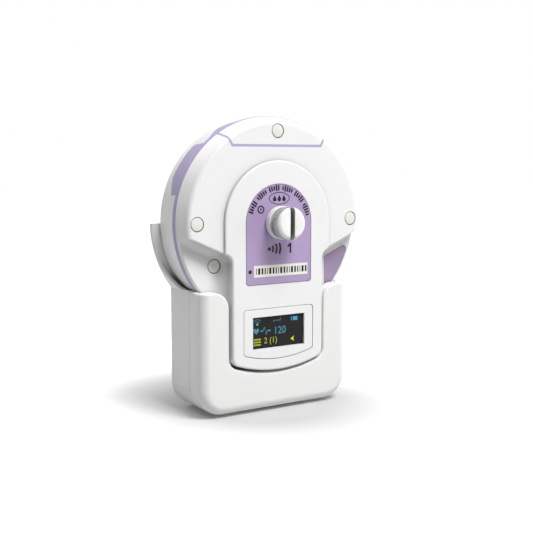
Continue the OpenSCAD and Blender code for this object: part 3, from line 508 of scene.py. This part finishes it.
# ---------------------------------------------------------------- Rim band with its grips and crown
# A soft lilac elastomer moulded over the joint of the two halves. It is a narrow line round the
# rim that widens into a grip pad on each side and into a crown behind the cap.
band_proud = 0.12
band_root = 38.3
band_skin = 1.2
grip_middle = 180 - 31.8
grip_half = 11.3
grip_line = [(-grip_half, band_near), (-grip_half, 14.7), (7.3 - grip_half, 19), (grip_half - 0.8, 19),
             (grip_half, 18.2), (grip_half, band_near)]
crown_line = [(-25.1, band_near), (-25.1, band_far), (-17.5, 17), (17.5, 17), (25.1, band_far),
              (25.1, band_near)]
skin_line = ([(disc_rim - band_skin, band_far - 0.1), (disc_rim + band_proud, band_far - 0.1),
              (disc_rim + band_proud, band_far)]
             + arc(back_r - back_round, disc_back - back_round, back_round + band_proud, 15, 30, 2)
             + [(back_r - band_skin, disc_back - back_round)])
reach = 40 * MM
out = Vector((math.cos(math.radians(grip_middle)), 0, math.sin(math.radians(grip_middle))))
up = Vector((out.z, 0, -out.x))
wide = prism("crown", [place(x, depth, 20) for x, depth in crown_line], (0, 0, reach))
for side in (1, -1):
    flip = Vector((side, 1, 1))
    points = [place(0, depth, 0) + flip * (up * along * MM + out * reach / 2) for along, depth in grip_line]
    carve(wide, prism("grip", points, flip * out * reach), "UNION")
band = turned("rim_band_wide", skin_line, 384)
carve(band, wide, "INTERSECT")
rim_ring = turned("rim_ring", [(band_root, band_near), (disc_rim + band_proud, band_near),
                               (disc_rim + band_proud, band_far), (band_root, band_far)], 384)
carve(rim_ring, plate("stem_gap", stem_line(0.05, stem_clip), 0, disc_back))
carve(rim_ring, band, "UNION")
# Thermoplastic elastomer: lilac and matte, with a very fine skin.
elastomer = surface("overmoulded_elastomer", "#B2A8CC", "#ACA2C7", 8, 0.3, 0.008, 0.62, 0.05)
assemble(rim_ring, elastomer, "transducer", "lilac_elastomer", "rim_band")

# ---------------------------------------------------------------- Transducer, front half
# The front half: a disc with a tapering side and a soft front edge, an arched plateau that runs
# down as the stem, and two side steps cut beside the stem. Moulded in white ABS.
face_r = 38.4
face_round = 1.8
face_lean = 0.6
plateau_h = 1.1
plateau_r = 23.8
plateau_edge = 0.8
step_depth = 6.2
step_drop = 12.5
step_slope = math.radians(23.9)
step_corner = 4
step_cove = 3
step_lip = 0.45
step_edge = 0.3
cap_edge = 29.3
cap_half = 20
cap_slope = math.radians(61)
trim_w = 0.95
disc_line = ([(0, plateau_h)]
             + arc(face_r - face_round + face_lean, plateau_h + face_round, face_round, -90, -15, 10)
             + [(disc_rim, band_near), (0, band_near)])


def step_line(grow):
    """The right step's region, grown by some millimetres: outside the stem and below the edge line."""
    x0 = stem_half - grow
    z0 = -step_drop + grow / math.cos(step_slope) - grow * math.tan(step_slope)
    r = step_corner + grow
    x, z = x0 + r, z0 + r * math.tan(step_slope) - r / math.cos(step_slope)
    rise = 90 + math.degrees(step_slope)
    return arc(x, z, r, 180, rise, 14) + [
        (x0 + beyond, z0 + beyond * math.tan(step_slope)), (x0 + beyond, -beyond), (x0, -beyond)]


def cap_line(shrink):
    """The cap's region, shrunk by some millimetres."""
    x = cap_half - shrink / math.tan((math.pi - cap_slope) / 2)
    top = x + 20 / math.tan(cap_slope)
    z = cap_edge + shrink
    return [(-x, z), (x, z), (top, z + 20), (-top, z + 20)]


def step_cutter(side):
    """The tool that cuts a side step: a small lip at the face, an upright wall and a coved floor."""
    rings = [(step_lip, plateau_h - 2), (step_lip, plateau_h), (0, plateau_h + step_lip)]
    rings += [(-step_cove * (1 - math.cos(t)), step_depth - step_cove * (1 - math.sin(t)))
              for t in (math.pi / 16 * i for i in range(9))]
    first = [place(side * x, rings[0][1], z) for x, z in step_line(rings[0][0])]
    bpy.ops.object.select_all(action="DESELECT")
    bpy.ops.mesh.primitive_circle_add(vertices=len(first), radius=MM, fill_type="NGON")
    tool = bpy.context.object
    for vertex, point in zip(tool.data.vertices, first):
        vertex.co = point
    for grow, depth in rings[1:]:
        bpy.ops.object.mode_set(mode="EDIT")
        bpy.ops.mesh.extrude_region_move(TRANSFORM_OT_translate={"value": (0, 0, 0)})
        bpy.ops.object.mode_set(mode="OBJECT")
        moved = [vertex for vertex in tool.data.vertices if vertex.select]
        for vertex, (x, z) in zip(moved, step_line(grow)):
            vertex.co = place(side * x, depth, z)
    bpy.ops.object.mode_set(mode="EDIT")
    outward()
    return tool


disc_front = turned("transducer_front", disc_line, 256)
cap = copy_of(disc_front)
trim = copy_of(disc_front)
for side in (1, -1):
    carve(disc_front, step_cutter(side))
soften(disc_front, step_edge, lambda a, b: abs(a.y - step_depth) < 0.02 and abs(b.y - step_depth) < 0.02
       and min(math.hypot(a.x, a.z), math.hypot(b.x, b.z)) > face_r, 3)
corner = step_line(0)[:15]
side_z = -step_drop + (plateau_r - stem_half) * math.tan(step_slope)
stem_low = bowed(stem_half, stem_bow, stem_bow - stem_drop, stem_corner)
plateau = plate("plateau", arc(0, 0, plateau_r, 0, 180, 96) + [(-plateau_r, side_z)]
                + [(-x, z) for x, z in reversed(corner)] + list(reversed(stem_low)) + corner
                + [(plateau_r, side_z)], 0, band_near)
soften(plateau, plateau_edge, lambda a, b: max(a.y, b.y) < touch, 6, 20)
carve(disc_front, plateau, "UNION")
front_room = plate("front_room", stem_line(-shell_wall, 0), shell_wall, band_near + 1)
carve(front_room, drum("disc_room", face_r - shell_wall, plateau_h + shell_wall, band_near + 1), "UNION")
for side in (1, -1):
    carve(front_room, plate("step_wall", [(side * x, z) for x, z in step_line(shell_wall)],
                            0, step_depth + shell_wall))
carve(front_room, plate("cap_wall", cap_line(-trim_w / 2 - shell_wall), 0, band_near + 2))
carve(disc_front, front_room)
carve(disc_front, plate("cap_gap", cap_line(-trim_w / 2), -1, band_near + 1))

# ---------------------------------------------------------------- Cap, trim, screws and plugs
# The cap is a separate ABS moulding at the top of the face, edged with a lilac strip of the
# band's elastomer. Round silicone plugs cover the steel screws that hold the halves together.
plug_d = 5
plug_t = 0.8
plug_groove = 0.3
plug_round = 0.3
outer_r = face_r - 3.5
plug_spots = [(0, outer_r, plateau_h), (-outer_r, 0.4, plateau_h), (outer_r, 0.4, plateau_h),
              (-25.3, -16, step_depth)]
carve(trim, plate("trim_outside", cap_line(-trim_w / 2), -1, band_near + 1), "INTERSECT")
carve(trim, plate("trim_inside", cap_line(trim_w / 2), -2, band_near + 2))
carve(cap, plate("cap_outside", cap_line(trim_w / 2), -1, band_near + 1), "INTERSECT")
plugs = None
for x, z, depth in plug_spots:
    hole = drum("plug_hole", plug_d / 2 + plug_groove, depth - 1, depth + plug_t + 0.1, 64, x, z)
    carve(cap if z > cap_edge else disc_front, hole)
    plug = turned("screw_plugs_round", [(0, depth)]
                  + arc(plug_d / 2 - plug_round, depth + plug_round, plug_round, -90, 0, 4)
                  + [(plug_d / 2, depth + plug_t), (0, depth + plug_t)], 64, x, z)
    if plugs:
        pick(plugs, plug)
        bpy.ops.object.join()
    else:
        plugs = plug
cap.name = cap.data.name = "cap"
trim.name = trim.data.name = "cap_trim_strip"
assemble(cap, shell_abs, "transducer", "shell_plastic", "top_cap")
assemble(trim, elastomer, "transducer", "lilac_elastomer", "cap_trim")
# Sparked silicone: a warm off-white with a fine mottle.
plug_silicone = surface("sparked_silicone_plug", "#EEEDE8", "#DEDCD4", 0.45, 0.4, 0.02, 0.6, 0.08)
assemble(plugs, plug_silicone, "transducer", "plug_plastic", "screw_plugs")
finish_node("shell_screws", zinc_steel)

# ---------------------------------------------------------------- Label, blank strip and marks
# A lilac polyester film glued into a shallow recess of the plateau, printed with plain marks.
# A strip of synthetic paper with plain bars is glued on it.
label_r = 14.95
label_drop = 23.7
label_corner = 1.3
sheet_t = 0.3
label_gap = 0.12
label_sink = 0.04
label_hole_r = 5.6
label_edge_w = 0.22
print_front = -0.005
print_back = 0.1
tick_r = 13.3
tick_half = 0.33
strip_x, strip_z, strip_w, strip_h = 0.9, -18.4, 24.6, 4.5
bar_high = -17.2
bar_low = -19.6
wave_x, wave_z = -4.5, -10
wave_w = 0.85
drop_z = 8.9
drop_r = 0.8


def label_line(shrink):
    """The arched outline of the label, shrunk by some millimetres."""
    r = label_r - shrink
    x, z = r - label_corner, -label_drop + shrink + label_corner
    return (arc(0, 0, r, 0, 180, 64) + arc(-x, z, label_corner, 180, 270, 8)
            + arc(x, z, label_corner, 270, 360, 8))


carve(disc_front, plate("label_recess", label_line(0), -1, sheet_t))
label = plate("label", label_line(label_gap), label_sink, sheet_t)
carve(label, drum("label_hole", label_hole_r, -1, 1, 96))
# Printed polyester film: an even matte lilac under a clear lacquer.
label_film = surface("printed_polyester_film", "#AD98BF", "#AA95BC", 6, 0.25, 0.003, 0.5, 0.04)
assemble(label, label_film, "transducer", "label_film", "label_plate")
strip = plate("strip", [(strip_x + sx * strip_w / 2, strip_z + sz * strip_h / 2)
                        for sx, sz in ((1, 1), (-1, 1), (-1, -1), (1, -1))], -0.01, 0.1)
# Synthetic paper: off-white and faintly fibrous.
strip_paper = surface("synthetic_paper", "#F3F1EC", "#E6E4DE", 0.5, 0.3, 0.006, 0.7, 0.05)
assemble(strip, strip_paper, "transducer", "strip_paper", "blank_strip")
# A darker ring on the label's edge, painted shade for the gap round the label.
label_edge_shade = plate("label_edge_shade", label_line(label_gap), 0.015, 0.2)
carve(label_edge_shade, plate("label_inside", label_line(label_gap + label_edge_w), -1, 1))
# A darker purple line round the film's edge: painted shade for the shadow in the thin gap round the label.
painted_edge_shade = surface("painted_label_edge_shade", "#8A769E", "#85719A", 2, 0.25, 0.002, 0.5, 0.04)
assemble(label_edge_shade, painted_edge_shade, "transducer", "label_film")
marks = []
for i in range(36):
    if i % 6 == 5:
        continue
    turn = math.radians(12 + 4.4 * i)
    tall = 0.75 + 0.15 * (i * 5 % 4)
    across = Vector((-math.sin(turn), math.cos(turn)))
    along = Vector((math.cos(turn), math.sin(turn)))
    corners = [along * (tick_r + a * tall) + across * b * tick_half
               for a, b in ((-1, -1), (1, -1), (1, 1), (-1, 1))]
    marks.append(plate("mark", [tuple(c) for c in corners], print_front, print_back))
x = strip_x - strip_w / 2 + 0.9
for i in range(19):
    wide = 0.3 + 0.22 * (i * 7 % 4)
    marks.append(plate("mark", [(x, bar_high), (x, bar_low), (x + wide, bar_low), (x + wide, bar_high)],
                       -0.03, 0.05))
    x += wide + 0.62


def ring(x, z, half, high, wide):
    """A plain printed oval line, or a filled one where its line is as wide as the oval."""
    line = plate("mark", [(x + half * a, z + high * b) for a, b in arc(0, 0, 1, 0, 352.5, 47)],
                 print_front, print_back)
    if wide < half:
        carve(line, plate("inside", [(x + (half - wide) * a, z + (high - wide) * b)
                                     for a, b in arc(0, 0, 1, 0, 352.5, 47)], -1, 1))
    return line


marks += [ring(0, 9.3, 4.7, 2.4, 0.3), ring(-8.3, 5.2, 1.55, 1.55, 0.5), ring(-8.3, 5.2, 0.4, 0.4, 0.4),
          ring(-13.1, -18.4, 0.75, 0.75, 0.75), ring(wave_x, wave_z, 0.7, 0.7, 0.7)]
for x in (-2.1, 0, 2.1):
    marks.append(plate("mark", [(x + drop_r * a, drop_z + drop_r * b)
                                for a, b in arc(0, 0, 1, 150, 390, 16)] + [(x, 10.6)],
                       print_front, print_back))
for r, half in ((2.2, 42), (3.8, 33), (5.4, 25)):
    marks.append(plate("mark", arc(wave_x, wave_z, r, half, -half, 16)
                       + arc(wave_x, wave_z, r - wave_w, -half, half, 16), print_front, print_back))


def lettering(text, x, z, wide, high, bold, depth):
    """A plain number as a thin raised print, placed by its middle and fitted to a width and height."""
    bpy.ops.object.select_all(action="DESELECT")
    bpy.ops.object.text_add()
    piece = bpy.context.object
    piece.data.body, piece.data.extrude, piece.data.offset = text, 0.01, bold
    bpy.ops.object.convert(target="MESH")
    bpy.ops.object.origin_set(type="ORIGIN_GEOMETRY", center="BOUNDS")
    piece.dimensions = (wide * MM, high * MM, 0.04 * MM)
    piece.rotation_euler.x = math.pi / 2
    piece.location = place(x, depth, z)
    bpy.ops.object.transform_apply(location=True, rotation=True, scale=True)
    return piece


figure_one = ((0.45, 1.95), (0.45, -1.95), (-0.3, -1.95), (-0.3, 0.7), (-1.25, 0.3), (-1.25, 1.0),
              (-0.2, 1.95))
marks.append(plate("mark", [(5.1 + x, z - 10) for x, z in figure_one], print_front, print_back))
pick(*marks)
bpy.ops.object.join()
marks[0].name = marks[0].data.name = "label_marks"
# Screen-printed ink: a flat soft black.
ink = surface("screen_printed_ink", "#17141B", "#1B181F", 1, 0.2, 0.001, 0.6, 0.05,
              **{"Specular IOR Level": 0.25})
assemble(marks[0], ink, "transducer", "label_film")

# ---------------------------------------------------------------- Side badge
# A plain mauve badge of domed polyester film, shaped to the right side step and glued to its
# floor. Its outer edge runs beside the disc's rim.
badge_x = 25.7
badge_r = 39
badge_tip = 1.9
badge_corner = 1.6
badge_drop = 4.7
badge_proud = 0.15
badge_edge = 0.08
badge_top = -step_drop - stem_half * math.tan(step_slope) - badge_drop
fall = -math.tan(step_slope)
lean = 90 + math.degrees(step_slope)
tip_x = badge_x + badge_tip
tip_z = -math.sqrt((badge_r - badge_tip) ** 2 - tip_x ** 2)
tip_turn = math.degrees(math.atan2(tip_z, tip_x))
low_line = badge_top - badge_corner / math.cos(step_slope)
grade = 1 + fall ** 2
far_x = (fall * low_line + math.sqrt((badge_r - badge_corner) ** 2 * grade - low_line ** 2)) / grade
far_z = low_line - fall * far_x
far_turn = math.degrees(math.atan2(far_z, far_x))
near_x = badge_x + badge_corner
badge = plate("badge", arc(near_x, low_line - fall * near_x, badge_corner, lean, 180, 8)
              + arc(tip_x, tip_z, badge_tip, 180, 360 + tip_turn, 16)
              + arc(0, 0, badge_r, tip_turn, far_turn, 16)[1:-1]
              + arc(far_x, far_z, badge_corner, far_turn, lean, 16),
              step_depth - badge_proud, step_depth + 0.1)
soften(badge, badge_edge, lambda a, b: max(a.y, b.y) < step_depth - badge_proud + 0.01, 2)
# Domed polyester film: mauve with a satin face.
badge_film = surface("satin_polyester_badge", "#9785A3", "#927F9F", 5, 0.3, 0.002, 0.35, 0.04)
assemble(badge, badge_film, "transducer", "badge_film", "side_badge")

# ---------------------------------------------------------------- Display frame, window and lit symbols
# A snap-in ABS frame with a fine shadow gap round it holds a dark tinted window, behind which
# an OLED shows plain symbols and numbers.
frame_half = 16.05
frame_top = -32.85
frame_drop = 53.1
frame_bow = 50.9
frame_corner = 1.5
frame_gap = 0.2
frame_t = 1.3
frame_edge = 0.25
window_x, window_top, window_h = 11.875, -36.1, 12.45
window_low = window_top - window_h
window_sink = 0.9
window_t = 1.2
pixel_strength = 0.9
pixel_base = "#101012"


def frame_line(shrink):
    """The display frame's outline, shrunk by some millimetres."""
    half, top = frame_half - shrink, frame_top - shrink
    return (arc(half - frame_corner, top - frame_corner, frame_corner, 0, 90, 8)
            + arc(frame_corner - half, top - frame_corner, frame_corner, 90, 180, 8)
            + list(reversed(bowed(half, frame_bow - shrink, frame_bow - frame_drop, frame_corner))))


def window_line(grow):
    """The window's rectangle, grown by some millimetres."""
    return [(sx * (window_x + grow), z + sz * grow) for sx, z, sz in
            ((1, window_top, 1), (-1, window_top, 1), (-1, window_low, -1), (1, window_low, -1))]


carve(disc_front, plate("frame_recess", frame_line(0), -1, frame_t))
carve(disc_front, plate("window_hole", window_line(0.9), 0, shell_wall + 1))
display_frame = plate("display_bezel", frame_line(frame_gap), 0, frame_t)
soften(display_frame, frame_edge, lambda a, b: max(a.y, b.y) < touch, 3)
carve(display_frame, plate("window_opening", window_line(0), -1, 3))
carve(display_frame, plate("window_seat", window_line(0.8), window_sink, 3))
assemble(display_frame, shell_abs, "transducer", "shell_plastic", "display_frame")
window = plate("window", window_line(0.7), window_sink, window_sink + window_t)
# Tinted acrylic over an OLED: nearly black and glossy.
tinted_acrylic = surface("tinted_acrylic_window", "#0F0F11", "#111113", 5, 0.4, 0.0005, 0.12, 0.02,
                         **{"Specular IOR Level": 0.1})
assemble(window, tinted_acrylic, "transducer", "display_window", "display_window")
screen = plate("screen", window_line(-0.35), window_sink - 0.01, window_sink + 0.1)
# The OLED's unlit field: a dark grey, a shade lighter than its border.
oled_field = surface("OLED_dark_field", "#232325", "#202022", 2, 0.2, 0.0005, 0.2, 0.02,
                     **{"Specular IOR Level": 0.1})
assemble(screen, oled_field, "transducer", "display_panel")


def lit(name, colour):
    """The light of OLED pixels: a plain glowing colour with a trace of the pixel grid."""
    finish = surface(name, colour, colour, 1, 0.1, 0.0005, 0.3, 0.02, **{"Specular IOR Level": 0.1})
    shader = next(n for n in finish.node_tree.nodes if n.type == "BSDF_PRINCIPLED")
    shader.inputs["Emission Color"].default_value = linear(colour)
    shader.inputs["Emission Strength"].default_value = pixel_strength
    shader.inputs["Base Color"].default_value = linear(pixel_base)
    finish.node_tree.links.remove(shader.inputs["Base Color"].links[0])
    return finish


glow = window_sink - 0.03
deep = window_sink + 0.05


def fan(x, z, r, wide):
    """One arc of the signal symbol."""
    return plate("symbol", arc(x, z, r, 135, 45, 10) + arc(x, z, r - wide, 45, 135, 10), glow, deep)


def bars(*boxes):
    """Plain upright bars of the display, each from one corner to the other."""
    return [plate("symbol", [(x, top), (x, low), (x2, low), (x2, top)], glow, deep)
            for x, top, x2, low in boxes]


faint = [fan(-9.4, -39.4, 2.5, 0.45), fan(-9.4, -39.4, 1.6, 0.4)]
faint += bars((-2.2, -37.9, 1.2, -38.35), (-2.2, -38.35, -1.8, -38.8), (1.0, -37.1, 1.4, -38.35))
pale = [plate("symbol", [(-9.9, -39.3), (-8.9, -39.3), (-9.4, -38.3)], glow, deep)]
cell = bars((7.0, -37.3, 9.1, -38.8), (6.1, -37.3, 6.6, -37.6), (6.1, -37.6, 6.35, -38.5),
            (6.1, -38.5, 6.6, -38.8))
heart = [(math.sin(t) ** 3,
          (13 * math.cos(t) - 5 * math.cos(2 * t) - 2 * math.cos(3 * t) - math.cos(4 * t)) / 16)
         for t in (math.tau * i / 32 for i in range(32))]
pulse = [(-7.9, 0), (-6.9, 0), (-6.2, 1.4), (-5.4, -1.4), (-4.8, 0), (-3.4, 0)]
teal = [plate("symbol", [(-9.9 + 1.3 * x, -41.6 + 1.35 * z) for x, z in heart], glow, deep),
        plate("symbol", [(x, z - 41.5) for x, z in pulse]
              + [(x, z - 42.05) for x, z in reversed(pulse)], glow, deep),
        lettering("120", 1.2, -42, 4.9, 2.9, 0.005, glow + 0.02)]
yellow = bars((-11, -44.6, -7.8, -45.2), (-11, -45.65, -7.8, -46.25), (-11, -46.7, -7.8, -47.3))
yellow.append(lettering("2 (1)", -3.4, -45.95, 5.9, 3.1, 0.005, glow + 0.02))
bright = [plate("symbol", [(5.9, -46.05), (7.6, -45), (7.15, -46.05), (7.6, -47.1)], glow, deep)]
for name, parts, colour in (("symbols_signal", faint, "#356879"), ("symbols_cell", cell, "#4FA8D8"),
                            ("symbols_foot", pale, "#9CC4CC"), ("symbols_teal", teal, "#4A97A5"),
                            ("symbols_yellow", yellow, "#B5B82E"), ("symbols_arrow", bright, "#F0E820")):
    pick(*parts)
    bpy.ops.object.join()
    parts[0].name = parts[0].data.name = name
    assemble(parts[0], lit(name + "_light", colour), "transducer", "display_panel")

# ---------------------------------------------------------------- Inside the transducer
# The OLED panel and its board, the flat cable, the main board, the cell, the carrier with its
# seven crystals, and the contact pads: hidden parts, each in its real material.
insert_hole_r = 3.05
carve(disc_front, drum("insert_hole", insert_hole_r, -1, band_near + 2, 64))
assemble(disc_front, shell_abs, "transducer", "shell_plastic", "front_shell")
# Panel glass: black and glossy.
panel_glass = surface("OLED_panel_glass", "#1A1A1C", "#202024", 4, 0.3, 0.001, 0.15, 0.03)
# Polyimide film: amber and slightly glossy.
polyimide = surface("polyimide_film", "#C9893A", "#B97A2F", 3, 0.4, 0.003, 0.35, 0.05)
# Laminated aluminium foil of the cell: dull silver with soft dents.
cell_foil = surface("laminated_cell_foil", "#B9C0C8", "#A9B1BA", 6, 1.5, 0.05, 0.4, 0.08, Metallic=0.8)
# Cast epoxy: cream and waxy.
epoxy = surface("cast_epoxy_carrier", "#D8CFAE", "#CEC49F", 5, 0.5, 0.01, 0.5, 0.06)
# Silvered piezo ceramic: tan with a metallic face.
ceramic = surface("silvered_piezo_ceramic", "#C9B37A", "#BDA76E", 2, 0.3, 0.004, 0.45, 0.08, Metallic=0.3)
# Turned brass: warm and bright.
brass = surface("turned_brass", "#C9A550", "#BC9743", 1, 0.15, 0.002, 0.3, 0.06, Metallic=1)
# Nitrile rubber: near black and matte.
nitrile = surface("nitrile_rubber_seal", "#3C3C3E", "#343436", 1, 0.2, 0.004, 0.7, 0.05)
for name, finish in (("display_panel", panel_glass), ("display_board", solder_mask),
                     ("board_ribbon", polyimide), ("main_board", solder_mask), ("battery", cell_foil),
                     ("crystal_carrier", epoxy), ("crystals", ceramic), ("charge_pads", gold_plate),
                     ("stud_insert", brass), ("button_seal", nitrile)):
    finish_node(name, finish)

# ---------------------------------------------------------------- Belt button
# A turned and moulded white acetal button: a flange on the label, a neck that the belt's eyelet
# sits on, and a ribbed head with a domed front and a coin slot. Its stud screws into the insert.
button_r = 6.4
flange_t = 3
flange_back = -0.3
flange_back_round = 0.25
flange_round = 0.5
neck_round = 0.3
neck_r = 3.8
neck_l = 2.75
head_t = 2.3
dome_h = 1.3
flat_r = 4.6
rib_count = 48
rib_depth = 0.35
slot_w = 2
slot_depth = 2.6
slot_edge = 0.12
stud_r = 2
stud_end = 6
head_back = -flange_t - neck_l
head_edge = head_back - head_t
button_front = head_edge - dome_h
dome_r = button_r - 0.3
core_r = button_r - rib_depth - 0.1
button = turned("button", [(0, stud_end), (stud_r, stud_end), (stud_r, flange_back)]
                + arc(button_r - flange_back_round, flange_back - flange_back_round,
                      flange_back_round, 90, 0, 3)
                + arc(button_r - flange_round, flange_round - flange_t, flange_round, 0, -90, 5)
                + [(neck_r + neck_round, -flange_t), (neck_r, -flange_t - neck_round),
                   (neck_r, head_back - 0.1), (0, head_back - 0.1)], 128)
rib_line = []
for i in range(2 * rib_count):
    r = button_r if i % 2 == 0 else button_r - rib_depth
    rib_line += arc(0, 0, r, (i + 0.2) * 180 / rib_count, (i + 0.8) * 180 / rib_count, 1)
ribs = plate("ribs", rib_line, head_edge, head_back)
carve(button, ribs, "UNION")
dome = turned("dome", [(0, head_back), (core_r, head_back), (core_r, head_edge + 0.3),
                       (dome_r, head_edge + 0.3)]
              + [(flat_r + (dome_r - flat_r) * math.cos(t), head_edge - dome_h * math.sin(t))
                 for t in (math.pi / 20 * i for i in range(11))] + [(0, button_front)], 128)
carve(button, dome, "UNION")
carve(button, block("slot", (-slot_w / 2, slot_w / 2), (button_front - 1, button_front + slot_depth),
                    (-button_r - 1, button_r + 1)))
soften(button, slot_edge, lambda a, b: max(a.y, b.y) < button_front + 0.4
       and max(abs(a.x), abs(b.x)) < slot_w / 2 + touch, 2)
# Turned acetal: a dense, faintly waxy white, with painted shade in its inner corners.
acetal = surface("turned_acetal", "#F3F3F2", "#F0F0EF", 5, 0.2, 0.003, 0.36, 0.04, "#1A1A1A")
assemble(button, acetal, "button", "button_plastic", "belt_button")

# ---------------------------------------------------------------- Floor, lights and camera
# A pale studio table under five soft lamps: two high in front, one low at the right, one behind
# and a faint one at the left, which leaves the left sides in shade. The long lens stands to the
# left of the front, a little above the middle.
floor_size = 6
# shade_near and shade_far bound the painted shade on the floor round the object, and shade_floor is the lift
# left there.
shade_near = 0.028
shade_far = 0.09
shade_floor = 0.08
sky_light = 0.02
lamp_middle = Vector((0, 0, 0.06))
lamp_reach = 1.4
camera_rise = 6.697
camera_turn = -32.115


def seen_plainly(finish):
    """One where the camera, a reflection or glass sees a thing, and nought for the light it gives."""
    path = add_node(finish, "ShaderNodeLightPath")
    seen = add_node(finish, "ShaderNodeMath", {
        0: path.outputs["Is Camera Ray"], 1: path.outputs["Is Glossy Ray"]}, operation="MAXIMUM")
    also = add_node(finish, "ShaderNodeMath", {
        0: seen.outputs[0], 1: path.outputs["Is Transmission Ray"]}, operation="MAXIMUM")
    return also.outputs[0]


bpy.ops.object.select_all(action="DESELECT")
bpy.ops.mesh.primitive_plane_add(size=floor_size, location=(0, 0, cad_low.z))
floor = bpy.context.object
floor.name = "floor"
# Painted board: pale grey. What the camera and reflections see is lifted to pure white, and the lift fades
# under the object: this keeps its shadow, and also paints shade on the floor near the object.
board = surface("painted_white_board", "#BCBCBC", "#BCBCBC", 200, 5, 0.001, 0.8, 0.02)
away = add_node(board, "ShaderNodeVectorMath", {
    0: add_node(board, "ShaderNodeTexCoord").outputs["Object"]}, operation="LENGTH")
fade = add_node(board, "ShaderNodeMapRange", {
    "Value": away.outputs["Value"], "From Min": shade_near, "From Max": shade_far,
    "To Min": shade_floor, "To Max": 1.0})
lift = add_node(board, "ShaderNodeMath", {
    0: seen_plainly(board), 1: fade.outputs["Result"]}, operation="MULTIPLY")
shader = next(n for n in board.node_tree.nodes if n.type == "BSDF_PRINCIPLED")
shader.inputs["Emission Color"].default_value = (1, 1, 1, 1)
board.node_tree.links.new(lift.outputs[0], shader.inputs["Emission Strength"])
floor.data.materials.append(board)

# The studio's surround is seen as white, but gives the object almost no light.
world = bpy.data.worlds.new("studio")
bpy.context.scene.world = world
world.use_nodes = True
world.node_tree.nodes.clear()
strength = add_node(world, "ShaderNodeMapRange", {
    "Value": seen_plainly(world), "To Min": sky_light, "To Max": 1.0})
sky = add_node(world, "ShaderNodeBackground", {"Color": (1, 1, 1, 1), "Strength": strength.outputs["Result"]})
add_node(world, "ShaderNodeOutputWorld", {"Surface": sky.outputs["Background"]})

for name, turn, rise, size, power in (("key", 24, 52, 0.5, 8), ("front", 8, 60, 0.5, 15),
                                      ("right", 60, 10, 0.8, 4.5), ("back", -150, 45, 0.8, 5),
                                      ("left", -110, 10, 0.8, 1.5)):
    turn, rise = math.radians(turn), math.radians(rise)
    aim = Vector((math.sin(turn) * math.cos(rise), -math.cos(turn) * math.cos(rise), math.sin(rise)))
    bpy.ops.object.light_add(type="AREA", location=lamp_middle + lamp_reach * aim)
    lamp = bpy.context.object
    lamp.name = name
    lamp.data.size = size
    lamp.data.energy = power
    lamp.rotation_euler = aim.to_track_quat("Z", "Y").to_euler()

bpy.ops.object.camera_add(location=(-0.18900, -0.30567, 0.09787),
                          rotation=(math.radians(90 - camera_rise), 0, math.radians(camera_turn)))
camera = bpy.context.object
camera.data.lens = 61.23
camera.data.sensor_width = 36
bpy.context.scene.camera = camera
bpy.context.scene.view_settings.view_transform = "Standard"
